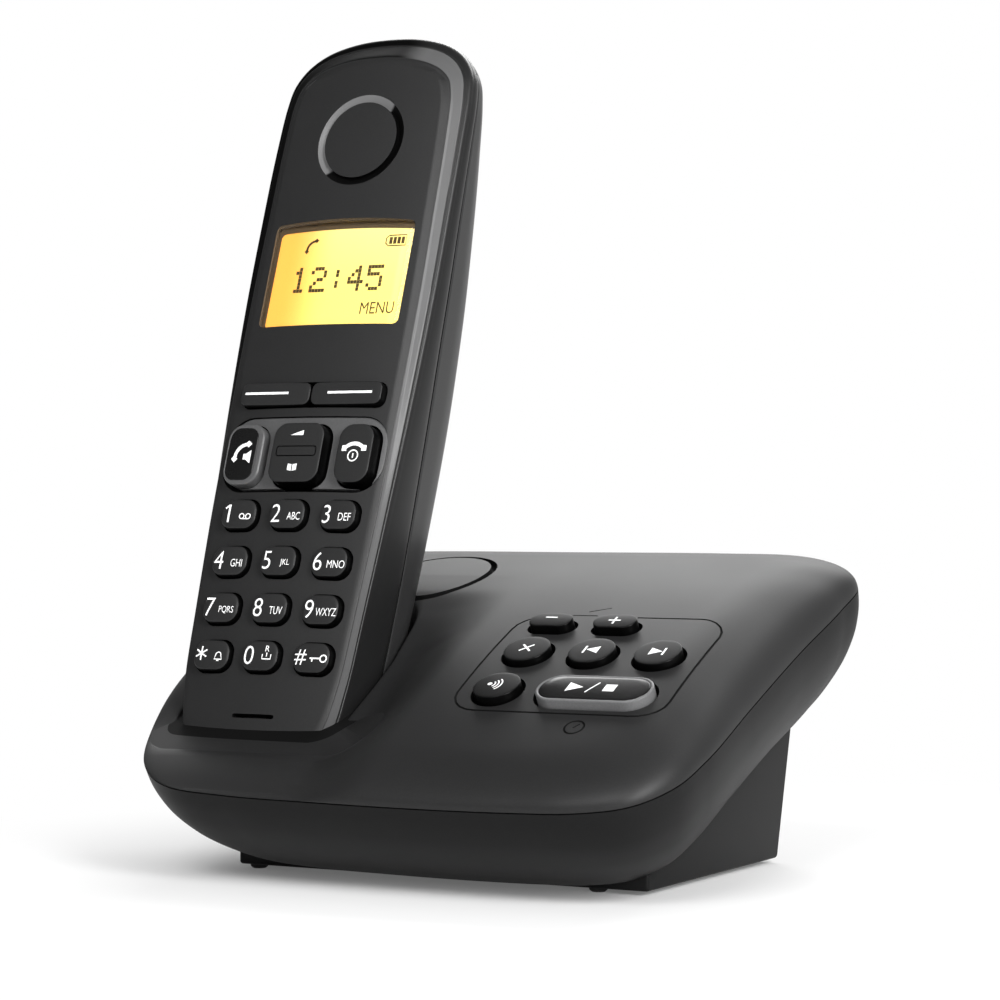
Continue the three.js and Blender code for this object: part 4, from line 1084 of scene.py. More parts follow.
class PHONE_OT_base_top(bpy.types.Operator):
    """Upper shell of the base with its cradle, holes and engraved lines"""

    bl_idname = "phone.base_top"
    bl_label = "Base top"

    def execute(self, context):
        h = handset()
        count = 720
        place, wall = opening(h.pocket_gap, count)
        _, edge = opening(h.pocket_gap + h.lip_round, count)
        top = self.shell(wall, edge)
        self.holes(top)
        self.lines(top)
        self.disc(top)
        smooth_shaded(top, 40)
        dress(top, "base", "base_upper_shell", slot="dark_shell")
        self.cup(place, count)
        return {"FINISHED"}

    def shell(self, wall, edge):
        """From the rim over the pillow, round the lip into the cradle, and back underneath."""
        body, hand = body_plane(), handset_plane()
        centre = wall[:, :2].mean(0)
        outline = base_outline(2880)
        turn = np.arctan2(outline[:, 1] - centre[1], outline[:, 0] - centre[0])
        order = np.argsort(turn)
        aim = np.arctan2(edge[:, 1] - centre[1], edge[:, 0] - centre[0])
        rim = np.stack([
            np.interp(aim, turn[order], outline[order, k], period=2 * math.pi) for k in (0, 1)
        ], 1)
        across = edge[:, :2] - rim
        rings = [on_top(rim + across * t) for t in np.linspace(0, 1, 120) ** 1.9]
        rings[0][:, 2] = 0
        down = -hand[:, 1] @ body[:, :3]
        foot = wall + down * handset().lip_round
        for t in np.linspace(0, 1, 7)[1:]:
            rings.append((1 - t) ** 2 * edge + 2 * t * (1 - t) * wall + t * t * foot)
        rings.append(wall + down * 3 * MM)
        for t in (0.97, 0.7, 0.4, 0.15, 0.04):
            under = on_top(rim + across * t)
            under[:, 2] = np.maximum(under[:, 2] - SHELL_WALL, 0.1 * MM)
            rings.append(under)
        shape = Shape().skin([to_world(body, ring) for ring in rings], loop=True)
        return shape.object("base_top", [material("shell"), material("black_and_recess_shade")])

    def holes(self, top):
        """The holes of the buttons."""
        gap = panel().hole_gap
        flat = panel_plane()
        holes = Shape()
        for middle, width, height in base_buttons().values():
            loop = rounded(width + 2 * gap, height + 2 * gap, 0.49 * height + gap, middle)
            prism(loop, -9 * MM, 9 * MM, flat, 1, holes)
        cut(top, holes)

    def lines(self, top):
        """The panel's line, open between the volume keys, and the strokes beside it."""
        p = panel()
        body = body_plane()
        lines = Shape()
        loop = resampled(rounded(p.width, p.depth, p.corner, (p.line_across, p.line_up)), 300)
        back = p.line_up + p.depth / 2 - 0.5 * MM
        left, right = (side * MM for side in LINE_BREAK)
        kept = ~((loop[:, 1] > back) & (loop[:, 0] > left) & (loop[:, 0] < right))
        first = int(np.argmax(~kept & np.roll(kept, -1))) + 1
        trail = np.roll(loop, -first, 0)[: int(kept.sum())]
        trench(on_top(trail), p.line_width / 2, body, lines)
        for start, end in STROKES:
            trench(on_top(np.linspace(start, end, 24) * MM), 0.17 * MM, body, lines)
        mark = circle(1.95 * MM, (ROUND_MARK[0] * MM, ROUND_MARK[1] * MM), 90)
        tube(on_top(mark), 0.22 * MM, body, lines)
        # The grooves' cut walls take slot 1, the near-black of painted shade.
        cut(top, lines)

    def disc(self, top):
        """The groove round the loudspeaker's disc, wider at its lower right, where its near-black
        walls stand as a painted shade crescent.
        """
        p = panel()
        path = on_top(circle(p.disc_radius, (p.disc_across, p.disc_up), 160))
        turn = np.arctan2(path[:, 1] - p.disc_up, path[:, 0] - p.disc_across)
        shade_width = p.disc_line * (1 + 0.45 * np.cos(turn + math.radians(40)))
        cut(top, groove(path, 0 * shade_width, 1.3 * MM, body_plane(), 1, Shape(), -shade_width))

    def cup(self, place, count):
        """The cradle's walls from under the lip down to its floor."""
        hand = handset_plane()
        gap = handset().pocket_gap
        rings = []
        for t in (0.0, 0.1, 0.25, 0.45, 0.65, 0.8, 0.9, 0.96, 1.0):
            at = (place - 2.5 * MM) * (1 - t) + -gap * t
            rings.append(to_world(hand, cradle_ring(at, gap, count)))
        cup = Shape().skin(rings, low=False)
        cup = smooth_shaded(cup.object("cradle_cup", [material("shell")]), 60)
        dress(cup, "base", slot="dark_shell")


class PHONE_OT_base_bottom(bpy.types.Operator):
    """Lower shell of the base: the bowl, the wedge it stands on and its feet"""

    bl_idname = "phone.base_bottom"
    bl_label = "Base bottom"

    def execute(self, context):
        outline = base_outline(720)
        self.bowl(outline)
        self.wedge(outline, context)
        self.feet()
        return {"FINISHED"}

    def bowl(self, outline):
        b = base()
        body = body_plane()
        focus = np.array([0, b.depth * b.bowl_focus])
        draw = smooth_table(BOWL_SHARES)
        rings = []
        for down in np.concatenate([np.linspace(0, 0.94, 30), [0.96, 0.98, 0.992, 1.0]]):
            ring = outline + (focus - outline) * draw(down) * b.bowl_draw
            rings.append(to_world(body, level(ring, -b.seam_gap - down * b.bowl_depth)))
        shape = Shape().skin(rings)
        liner = inset(outline, 1.1 * MM)
        shape.skin([to_world(body, level(liner, z)) for z in (-2 * MM, 0.05 * MM)], 1, low=False)
        bowl = shape.object("base_bowl", [material("under"), material("black_and_recess_shade")])
        dress(smooth_shaded(bowl, 40), "base", "base_lower_shell", slot="dark_shell")

    def wedge(self, outline, context):
        b = base()
        front, rear = b.wedge_front, b.wedge_front + b.wedge_depth
        profile = np.array([
            [front, b.underside], [rear, b.underside],
            [rear + b.wedge_overhang, b.underside + b.wedge_rise], [front, b.underside + 3.4 * MM],
        ])
        rings = []
        for side in (-1, 1):
            x = b.wedge_across + side * b.wedge_width / 2
            rings.append(to_world(floor_plane(), np.column_stack([np.full(4, x), profile])))
        wedge = Shape().skin(rings).object("base_wedge", [material("under"), material("black_and_recess_shade")])
        cut(wedge, prism(inset(outline, 1.5 * MM), -90 * MM, 0, body_plane()), keep=True)
        bevel = wedge.modifiers.new("edges", "BEVEL")
        bevel.width, bevel.segments, bevel.limit_method = 0.7 * MM, 4, "ANGLE"
        bevel.angle_limit = math.radians(35)
        graph = context.evaluated_depsgraph_get()
        mesh = bpy.data.meshes.new_from_object(wedge.evaluated_get(graph))
        wedge.modifiers.clear()
        wedge.data = mesh
        tilt = math.atan2(b.wedge_overhang, b.wedge_rise)
        wall = plane(-math.pi / 2 - tilt, (0, rear, b.underside))
        sockets = Shape()
        for across in (-16 * MM, 10 * MM):
            loop = rounded(11.6 * MM, 9.6 * MM, 0.6 * MM, (-across, -13 * MM))
            prism(loop, -13 * MM, 4 * MM, wall, 1, sockets)
        cut(wedge, sockets)
        dress(smooth_shaded(wedge, 40), "base", slot="dark_shell")

    def feet(self):
        for name, ((x, y), profile) in FEET.items():
            rings = [
                to_world(floor_plane(), level(circle(r * MM, (x * MM, y * MM)), z * MM))
                for r, z in profile
            ]
            foot = Shape().skin(rings).object(name + "_rubber", [material("rubber")])
            dress(smooth_shaded(foot, 50), "base", name, slot="rubber")


class PHONE_OT_base_buttons(bpy.types.Operator):
    """The seven buttons of the base with their printed signs"""

    bl_idname = "phone.base_buttons"
    bl_label = "Base buttons"

    def execute(self, context):
        p = panel()
        flat = panel_plane()
        for name, (middle, width, height) in base_buttons().items():
            outline = rounded(width, height, 0.49 * height, middle, 16)
            if name == "button_play_stop_ring":
                self.play(flat, outline, middle)
                continue
            edge, dome, draft = 0.22 * MM, 0.12 * MM, 0.05 * MM
            cap = Cap(outline, middle, p.button_foot, p.button_rise, edge, dome, draft)
            shape = cap.build(flat, None, 0, 1)
            piece = shape.object(name + "_cap", [material("button"), material("key_wall_painted_shade")])
            body = name.replace("button_", "") + "_button"
            dress(smooth_shaded(piece, 50), body, name, slot="key_black")
            sign = Print(middle)
            self.sign(sign, name)
            sign.object(name + "_sign", flat, cap.height, "legend", piece)
        return {"FINISHED"}

    def play(self, flat, outline, middle):
        """The play and stop button in its grey rim."""
        p = panel()
        top = p.button_rise - 0.15 * MM
        inner = inset(outline, 0.62 * MM)
        crest = [level(inset(outline, 0.5 * MM), top), level(inner, top - 0.1 * MM)]
        shape = rim_shape(outline, p.button_foot, top, 0.3 * MM, 0.3 * MM, crest, flat)
        rim = smooth_shaded(shape.object("play_stop_rim", [material("rim")]), 50)
        dress(rim, "play_stop_button", "button_play_stop_ring", slot="grey_plastic")
        loop = inset(inner, 0.06 * MM)
        cap = Cap(loop, middle, p.button_foot, p.button_rise, 0.22 * MM, 0.1 * MM)
        key = smooth_shaded(cap.build(flat).object("play_stop_cap", [material("key_gloss")]), 50)
        dress(key, "play_stop_button", "button_play_stop", slot="key_black")
        sign = Print(middle)
        sign.area([(-5.6, -1.6), (-2.2, 0), (-5.6, 1.6)])
        sign.line([(-1.2, -1.8), (0.6, 1.8)], 0.3)
        sign.area(box(2.2, -1.2, 4.6, 1.2))
        sign.object("play_stop_sign", flat, cap.height, "legend", key)

    def sign(self, sign, name):
        thin = 0.42
        if name == "button_volume_down":
            sign.line([(-1.3, 0.6), (1.3, 0.6)], thin)
        elif name == "button_volume_up":
            sign.line([(-1.3, 0), (1.3, 0)], thin)
            sign.line([(0, -1.3), (0, 1.3)], thin)
        elif name == "button_delete":
            sign.line([(-1.2, -1.2), (1.2, 1.2)], thin)
            sign.line([(-1.2, 1.2), (1.2, -1.2)], thin)
        elif name in ("button_previous", "button_next"):
            way = 1 if name == "button_next" else -1
            sign.area([(-way * 1.6, -1.3), (way * 1.1, 0), (-way * 1.6, 1.3)])
            sign.line([(way * 1.4, -1.3), (way * 1.4, 1.3)], thin)
        else:
            sign.area(circle(0.5, (-1.4, 0), 16))
            for radius in (1.1, 1.8, 2.5):
                sign.line(arc_points((-1.4, 0), radius, -48, 48), 0.3)


# Handset.
class PHONE_OT_handset_front(bpy.types.Operator):
    """Front shell of the handset: face, chamfer, gloss band, and every cut in them"""

    bl_idname = "phone.handset_front"
    bl_label = "Handset front"

    def execute(self, context):
        h = handset()
        hand = handset_plane()
        outline = handset_outline(480)
        share = outline[:, 1] / h.length
        chamfer, shoulder = h.chamfer * CHAMFER(share), h.shoulder * SHOULDER(share)
        seam = h.front_depth * SEAM(share)
        top_face = face_level(outline[:, 0])
        rings, slots = [], []

        def ring(reach, n, slot):
            rings.append(level(inset(outline, reach), n))
            slots.append(slot)

        ring(1.4 * MM, -seam - 0.15 * MM, 3)
        ring(0.45 * MM, -seam + 0.15 * MM, 3)
        ring(0.12 * MM, -seam + 0.2 * MM, 1)
        ring(0.0, -seam + 0.42 * MM, 1)
        for t in (0.15, 0.3, 0.45, 0.6, 0.75, 0.87, 0.95):
            n = -seam * (1 - t) - shoulder * t
            ring(-0.25 * MM * 4 * t * (1 - t), n, 1)
        for t in np.linspace(0, 1, 7):
            a = t * math.pi / 2
            ring(0.3 * chamfer * (1 - math.cos(a)), -shoulder * (1 - 0.3 * math.sin(a)), 1)
        ring(0.34 * chamfer, -0.66 * shoulder, 1)
        for t in (0.0, 0.3, 0.6, 0.85):
            n = (1 - t) * -0.62 * shoulder + t * (top_face - 0.14 * shoulder)
            ring(chamfer * (0.38 + 0.48 * t), n, 2)
        for t in np.linspace(0, 1, 6):
            reach = chamfer * (0.86 + 0.29 * t)
            ring(reach, top_face - 0.14 * shoulder * (1 - t) ** 2, 2 if t < 0.3 else 0)
        last = rings[-1][:, :2]
        low, high = (part * h.length for part in SPINE_SHARES)
        middle = np.clip(last[:, 1], low, high)
        for t in np.linspace(1, 0, 26)[1:]:
            x = last[:, 0] * t
            y = middle + (last[:, 1] - middle) * t
            rings.append(np.column_stack([x, y, face_level(x)]))
            slots.append(0)
        shape = Shape().skin([to_world(hand, r) for r in rings], slots, high=False)
        finishes_used = ("face", "band", "chamfer", "black_and_recess_shade", "reveal", "ring")
        shell = shape.object(
            "handset_front_shell", [material(name) for name in finishes_used], weld=2e-6
        )
        self.openings(shell)
        smooth_shaded(shell, 34)
        dress(shell, "handset", "handset_front", slot="dark_shell")
        return {"FINISHED"}

    def openings(self, shell):
        """The holes of the keys, slot, plate and window, and the earpiece's groove."""
        h = handset()
        hand = handset_plane()
        deep, over = -6 * MM, 5 * MM
        tools = Shape()
        for name, x, y, width, height, corner, _, _ in handset_keys():
            if name.startswith("key_"):
                prism(key_room(width, height, corner, (x, y)), deep, over, hand, 3, tools)
        soft = rounded(
            2 * (h.soft_across + h.key_gap) + h.soft_width, h.soft_height + 2 * h.key_gap, 2 * MM,
            (h.key_shift, h.soft_place), 12,
        )
        prism(soft, deep, over, hand, 3, tools)
        slot = rounded(h.mic_length, h.mic_width, h.mic_width * 0.49, (0.35 * MM, h.mic_place))
        prism(slot, deep, over, hand, 3, tools)
        middle = (h.key_shift, h.plate_place - 0.4 * MM)
        plate = rounded(h.plate_width, h.plate_height + 0.8 * MM, 6 * MM, middle, 14)
        prism(plate, -2.6 * MM, over, hand, 3, tools)
        cut(shell, tools)
        tools = prism(window_loop(0.0), deep, over, hand, 4)
        path = circle(h.ear_radius, (0, h.ear_place), 200)
        path = level(path, face_level(path[:, 0]))
        groove(path, 0.0, 0.9 * MM, hand, 5, tools, -h.ear_line, h.ear_line - 0.35 * MM)
        cut(shell, tools)


def key_room(width, height, corner, middle):
    """Outline of the hole round a key."""
    gap = handset().key_gap
    return rounded(width + 2 * gap, height + 2 * gap, corner + gap, middle, 12, 0.12 * MM)


def window_loop(reach):
    """Outline of the window, drawn in by a reach, with its arched top."""
    h = handset()
    loop = rounded(
        h.window_width - 2 * reach,
        h.window_height - 2 * reach,
        max(1.2 * MM - reach, 0.3 * MM),
        (0, h.window_place + h.window_height / 2),
        20,
    )
    arch = h.window_arch * np.clip(1 - (2 * loop[:, 0] / h.window_width) ** 2, 0, 1)
    upper = loop[:, 1] > h.window_place + h.window_height / 2
    return np.stack([loop[:, 0], loop[:, 1] + np.where(upper, arch, 0)], 1)


def handset_keys():
    """Each key of the handset: node, middle, width, height, corner, rise and body."""
    h = handset()
    keys = []
    names = ("1", "2", "3", "4", "5", "6", "7", "8", "9", "star", "0", "hash")
    for index, name in enumerate(names):
        x = (index % 3 - 1) * h.column_pitch + h.key_shift
        y = h.row_place + (3 - index // 3) * h.row_pitch
        keys.append((
            f"key_{name}", x, y, h.key_width, h.key_height, h.key_corner, h.key_rise,
            f"digit_{name}",
        ))
    for side, name in ((-1, "left"), (1, "right")):
        keys.append((
            f"soft_key_{name}", side * h.soft_across + h.key_shift, h.soft_place, h.soft_width,
            h.soft_height, 1.5 * MM, h.soft_rise, f"{name}_soft",
        ))
    for side, name, body in ((-1, "talk_key_rim", "talk"), (1, "end_key", "end")):
        keys.append((
            name, side * h.call_across + h.key_shift, h.call_place, h.call_width, h.call_height,
            h.call_corner, h.call_rise, body,
        ))
    keys.append((
        "nav_rocker", h.key_shift, h.call_place, h.nav_width, h.nav_height, 3 * MM, h.nav_rise,
        "nav",
    ))
    return keys


LETTERS = {
    "key_2": ("2", "ABC", 0.68), "key_3": ("3", "DEF", 0.74), "key_4": ("4", "GHI", 0.72),
    "key_5": ("5", "JKL", 0.82), "key_6": ("6", "MNO", 0.76), "key_7": ("7", "PQRS", 0.76),
    "key_8": ("8", "TUV", 0.66), "key_9": ("9", "WXYZ", 0.66),
}


class PHONE_OT_handset_keys(bpy.types.Operator):
    """Keys of the handset with their printed signs"""

    bl_idname = "phone.handset_keys"
    bl_label = "Handset keys"

    def execute(self, context):
        hand = handset_plane()
        foot = handset().key_foot
        for name, x, y, width, height, corner, rise, body in handset_keys():
            outline = rounded(width, height, corner, (x, y), 16, 0.12 * MM)
            top = face_level(x) + rise
            if name == "talk_key_rim":
                self.talk(hand, outline, (x, y), foot)
                continue
            digit = name.startswith("key_")
            dome = 0.18 * MM if digit else 0.1 * MM
            edge = 0.5 * MM if digit else 0.3 * MM
            draft = 0.14 * MM if digit or name.startswith("soft") else 0.35 * MM
            cap = Cap(outline, (x, y), foot, top, edge, dome, draft)
            shape = cap.build(hand, None, 0, 1)
            piece = shape.object(name + "_cap", [material("key"), material("key_wall_painted_shade")])
            if name == "nav_rocker":
                loop = resampled(rounded(9.6 * MM, 2.1 * MM, 0.5 * MM, (x, y + 0.25 * MM), 8), 200)
                path = level(loop, top - 0.02 * MM)
                cut(piece, groove(path, 0.12 * MM, 0.25 * MM, hand, 1, Shape()))
            smooth_shaded(piece, 45)
            dress(piece, body, name, slot="key_black")
            sign = Print((x, y))
            self.sign(sign, name)
            sign.object(name + "_sign", hand, cap.height, "legend", piece)
        return {"FINISHED"}

    def talk(self, hand, outline, middle, foot):
        """The talk key in its grey rim, which is thin on the left and broad on the right."""
        top = face_level(middle[0]) + handset().call_rise
        shift = (0.5 * MM, 0)
        inner = inset(outline, 0.95 * MM) - shift
        crest = [level(inner, top - 0.45 * MM)]
        shape = rim_shape(outline, foot, top - 0.4 * MM, 0.4 * MM, 0.5 * MM, crest, hand)
        rim = smooth_shaded(shape.object("talk_rim", [material("grey")]), 50)
        dress(rim, "talk", "talk_key_rim", slot="grey_plastic")
        centre = np.array(middle) - shift
        cap = Cap(inset(inner, 0.06 * MM), centre, foot, top - 0.3 * MM, 0.2 * MM, 0.1 * MM)
        key = smooth_shaded(cap.build(hand).object("talk_cap", [material("key_gloss")]), 50)
        dress(key, "talk", "talk_key", slot="key_black")
        sign = Print(middle)
        receiver(sign, (-0.75, 0.75), 5.1, 48)
        sign.area(box(0.1, -1.25, 0.75, 0))
        sign.area([(0.75, -1.25), (1.9, -2.1), (1.9, 0.85), (0.75, 0)])
        sign.object("talk_sign", hand, cap.height, "legend", key)

    def sign(self, sign, name):
        digit, side = (-2.55, 0.05), (1.75, -0.55)
        if name in LETTERS:
            figure, letters, narrow = LETTERS[name]
            sign.words(figure, 3.9, digit, narrow=0.9, bold=-0.008)
            shift = -0.2 if len(letters) == 4 else 0.1
            sign.words(letters, 1.65, (side[0] + shift, side[1]), narrow=narrow, bold=-0.006)
        elif name == "key_1":
            sign.line([(-2.3, -1.85), (-2.3, 2)], 0.48)
            sign.line([(-2.45, 1.85), (-3.35, 1.15)], 0.42)
            for step in (-1, 1):
                sign.line(circle(0.55, (side[0] + step * 0.75, side[1]), 24), 0.22, True)
            sign.line([(1, -1.1), (2.5, -1.1)], 0.22)
        elif name == "key_0":
            sign.words("0", 3.9, digit, narrow=0.96, bold=-0.008)
            sign.words("R", 1.25, (1.75, 1.5))
            sign.line([(0.75, 0.3), (0.75, -0.7), (2.75, -0.7), (2.75, 0.3)], 0.26)
            sign.line([(1.75, -0.2), (1.75, 0.65)], 0.24)
        elif name == "key_star":
            x, y = -2.35, 0.25
            for turn in (90, 30, -30):
                a = math.radians(turn)
                dx, dy = 1.5 * math.cos(a), 1.5 * math.sin(a)
                sign.line([(x - dx, y - dy), (x + dx, y + dy)], 0.34)
            bell = arc_points((1.85, -0.05), 0.6, 180, 0, 12)
            sign.line(np.vstack([[(0.97, -0.95)], bell, [(2.73, -0.95)]]), 0.22, True)
            sign.line([(1.57, -1.23), (2.13, -1.23)], 0.26)
        elif name == "key_hash":
            x, y = -2.45, 0.05
            for step in (-0.55, 0.55):
                sign.line([(x + step - 0.3, y - 1.6), (x + step + 0.3, y + 1.6)], 0.3)
                sign.line([(x - 1.4, y + step), (x + 1.4, y + step)], 0.3)
            sign.line([(-0.15, -0.15), (2.35, -0.15)], 0.3)
            sign.line([(0.45, -0.15), (0.45, -0.85)], 0.3)
            sign.line(circle(0.72, (3, -0.15), 24), 0.3, True)
        elif name.startswith("soft_key"):
            shift = -2.1 if name.endswith("left") else 0.9
            sign.line([(shift - 5.4, 0.1), (shift + 5.4, 0.1)], 0.52)
        elif name == "end_key":
            receiver(sign, (0, 1.35), 5.4, 0)
            sign.line(circle(1.16, (0, -0.6), 32), 0.28, True)
            sign.line([(0, -0.1), (0, -1.1)], 0.28)
        elif name == "nav_rocker":
            sign.area([(-2, 3.75), (1.1, 3.75), (1.1, 4.85)])
            for way in (-1, 1):
                near, far = way * 0.12 - 0.25, way * 1.1 - 0.25
                sign.area([(near, -4.15), (far, -3.95), (far, -2.55), (near, -2.75)][::way])


DOTS = {
    "1": ("..#..", ".##..", "..#..", "..#..", "..#..", "..#..", ".###."),
    "2": (".###.", "#...#", "....#", "..##.", ".#...", "#....", "#####"),
    "4": ("...#.", "..##.", ".#.#.", "#..#.", "#####", "...#.", "...#."),
    "5": ("#####", "#....", "####.", "....#", "....#", "#...#", ".###."),
    ":": (".....", "..#..", "..#..", ".....", "..#..", "..#..", "....."),
}


def receiver(sign, middle, size, turn):
    """Sign of a telephone receiver: a bowed bar with a block at each end."""
    a = math.radians(turn)
    c, s = math.cos(a), math.sin(a)
    bar = arc_points((0, -0.42), 0.62, 140, 40, 16)
    inner = arc_points((0, -0.42), 0.47, 140, 40, 16)
    both = np.vstack([bar, inner])
    count = len(bar)
    faces = [(k, k + 1, count + k + 1, count + k) for k in range(count - 1)]
    turned = size * np.array([[c, s], [-s, c]])
    sign.add(both @ turned + np.array(middle), faces)
    for way in (-1, 1):
        block = np.array([(0.33, -0.17), (0.55, -0.17), (0.54, 0.05), (0.36, 0.07)]) * (way, 1)
        sign.area(block @ turned + np.array(middle))


class PHONE_OT_window(bpy.types.Operator):
    """Window of the handset with the lit display behind it, and the grey plate"""

    bl_idname = "phone.window"
    bl_label = "Window and plate"

    def execute(self, context):
        self.glass()
        self.display()
        self.plate()
        return {"FINISHED"}

    def glass(self):
        """The window, chamfered round its edge and set a little under the face."""
        h = handset()
        outer, inner = window_loop(0.12 * MM), window_loop(0.5 * MM)
        face = face_level(outer[:, 0])
        rings = [level(outer, face - 0.95 * MM), level(outer, face - 0.3 * MM)]
        centre = np.array([0, h.window_place + h.window_height / 2])
        for t in np.linspace(1, 0, 12):
            ring = centre + (inner - centre) * t
            rings.append(level(ring, face_level(ring[:, 0]) - 0.14 * MM))
        shape = Shape().skin([to_world(handset_plane(), ring) for ring in rings], high=False)
        glass = smooth_shaded(shape.object("window_glass", [material("window")], 2e-6), 30)
        dress(glass, "handset", "lcd_window", slot="window_clear")

    def display(self):
        """The lit sheet in a tan mask, broad along its top and left, and its characters."""
        h = handset()
        hand = handset_plane()
        deep = -2.1 * MM
        sheet = window_loop(-0.5 * MM)
        rings = [level(sheet, deep - 2.3 * MM), level(sheet, deep)]
        shape = Shape().skin([to_world(hand, ring) for ring in rings])
        lit = window_loop(0.1 * MM)
        corner = np.array([0.8 * MM - h.window_width / 2, h.window_place])
        lit = corner + (lit - lit.min(0)) * (
            1 - 0.7 * MM / h.window_width, 1 - 1.3 * MM / h.window_height,
        )
        rings = [level(loop, deep + 0.1 * MM) for loop in (sheet, lit)]
        shape.skin([to_world(hand, ring) for ring in rings], 1, low=False, high=False)
        display = shape.object("display_sheet", [material("display"), material("reveal")])
        dress(display, "handset", "lcd_module", slot="display_yellow")
        ink = Print((0, h.window_place + h.window_height))
        self.characters(ink)
        ink.object("display_signs", hand, lambda x, y: deep + 0 * x, "ink", display)

    def plate(self):
        """The grey plate round the call keys."""
        h = handset()
        hand = handset_plane()
        centre = np.array([h.key_shift, h.plate_place])
        width, height = h.plate_width - 0.1 * MM, h.plate_height - 0.1 * MM
        outline = rounded(width, height, 5.95 * MM, centre, 14)
        rings = [level(outline, -2.5 * MM)]
        for step in range(5):
            a = math.pi / 2 * step / 4
            loop = inset(outline, 0.3 * MM * (1 - math.cos(a)))
            rings.append(level(loop, face_level(loop[:, 0]) - 0.7 * MM + 0.3 * MM * math.sin(a)))
        for t in (0.8, 0.6, 0.4, 0.2):
            ring = centre + (loop - centre) * t
            rings.append(level(ring, face_level(ring[:, 0]) - 0.4 * MM))
        shape = Shape().skin([to_world(hand, ring) for ring in rings])
        plate = shape.object("call_plate", [material("grey"), material("black_and_recess_shade")])
        tools = Shape()
        for name, x, y, width, height, corner, _, _ in handset_keys():
            if abs(y - h.call_place) < 1 * MM:
                prism(key_room(width, height, corner, (x, y)), -9 * MM, 9 * MM, hand, 1, tools)
        cut(plate, tools)
        smooth_shaded(plate, 40)
        dress(plate, "handset", "call_key_plate", slot="grey_plastic")

    def characters(self, ink):
        """The time in dots, a generic word and two small signs, down from the window's top."""
        pitch_x, pitch_y = 0.78, 0.84
        begin = -15 * pitch_x - 0.2
        for place, character in enumerate("12:45"):
            for row, line in enumerate(DOTS[character]):
                for column, dot in enumerate(line):
                    if dot == "#":
                        x = begin + (place * 6 + column) * pitch_x
                        y = -10.2 - row * pitch_y
                        ink.area(box(x, y, x + 0.74, y + 0.8))
        ink.words("MENU", 2.7, (10.7, 4.3 - handset().window_height / MM), narrow=0.8)
        receiver(ink, (-8.65, -4.3), 3.7, 50)
        x, y = 10.7, -5.1
        battery = box(x, y, x + 4.2, y + 2.4) + [(x - 0.7, y + 1.8), (x - 0.7, y + 0.6)]
        ink.line(battery, 0.26, True)
        for step in range(4):
            left = x + 0.1 + step
            ink.area(box(left, y + 0.4, left + 0.75, y + 2))


class PHONE_OT_handset_back(bpy.types.Operator):
    """Back shell of the handset with its battery door and ringer slots"""

    bl_idname = "phone.handset_back"
    bl_label = "Handset back"

    def execute(self, context):
        h = handset()
        hand = handset_plane()
        outline = handset_outline(480)
        share = outline[:, 1] / h.length
        seam = h.front_depth * SEAM(share)
        back = h.depth * BACK(share)
        rings = [
            level(inset(outline, 1.5 * MM), -seam + 0.15 * MM),
            level(inset(outline, 0.5 * MM), -seam - 0.15 * MM),
            level(inset(outline, 0.14 * MM), -seam - 0.2 * MM),
            level(outline, -seam - 0.45 * MM),
        ]
        slots = [1, 1, 0, 0]
        curve = smooth_table(BACK_EDGE_SHARES)
        for down in np.concatenate([np.linspace(0.06, 0.9, 16), [0.94, 0.965, 0.985, 1]]):
            n = -seam - 0.3 * MM + (-back + seam) * down
            rings.append(level(inset(outline, curve(down) * h.back_round), n))
            slots.append(0)
        last = rings[-1][:, :2]
        low, high = (part * h.length for part in SPINE_SHARES)
        middle = np.clip(last[:, 1], low, high)
        for t in np.linspace(1, 0, 18)[1:]:
            x = last[:, 0] * t
            y = middle + (last[:, 1] - middle) * t
            rings.append(np.column_stack([x, y, -h.depth * BACK(y / h.length)]))
            slots.append(0)
        shape = Shape().skin([to_world(hand, r) for r in rings], slots, high=False)
        shell = shape.object("handset_back_shell", [material("back"), material("black_and_recess_shade")], 2e-6)
        tools = Shape()
        for step in (-1, 0, 1):
            loop = rounded(0.9 * MM, 8 * MM, 0.44 * MM, (step * 2.4 * MM, 124 * MM))
            prism(loop, -40 * MM, -h.front_depth, hand, 1, tools)
        cut(shell, tools)
        door = shell.copy()
        door.data = shell.data.copy()
        door.name = "battery_door_cover"
        bpy.context.collection.objects.link(door)
        outline = rounded(h.door_width, h.door_length, 4 * MM, (0, h.door_place), 12)
        room = inset(outline, -0.15 * MM)
        cut(shell, prism(room, -40 * MM, -h.front_depth - 1 * MM, hand, 1))
        cover = inset(outline, 0.1 * MM)
        cut(door, prism(cover, -40 * MM, -h.front_depth - 1.5 * MM, hand), keep=True)
        for obj in (shell, door):
            smooth_shaded(obj, 40)
        dress(shell, "handset", "handset_back", slot="dark_shell")
        dress(door, "door", "battery_door", slot="dark_shell")
        return {"FINISHED"}


class PHONE_OT_inside(bpy.types.Operator):
    """Finishes for the solid pieces inside the shells and under the base"""

    bl_idname = "phone.inside"
    bl_label = "Inside pieces"

    def execute(self, context):
        finish = {
            "base_screw_left": "metal", "base_screw_right": "metal",
            "charge_pin_left": "metal", "charge_pin_right": "metal",
            "charge_pad_left": "metal", "charge_pad_right": "metal",
            "battery_contact_bottom": "metal", "battery_contact_top": "metal",
            "power_socket": "key", "line_socket": "key",
            "base_key_mat": "rubber", "keypad_mat": "rubber",
            "base_board": "board", "handset_board": "board",
            "battery_left": "cell", "battery_right": "cell",
            "base_speaker": "black_and_recess_shade", "earpiece": "black_and_recess_shade",
            "microphone": "black_and_recess_shade", "ringer": "black_and_recess_shade",
        }
        for name, look in finish.items():
            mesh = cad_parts[name].data
            mesh.materials.clear()
            mesh.materials.append(material(look))
        return {"FINISHED"}


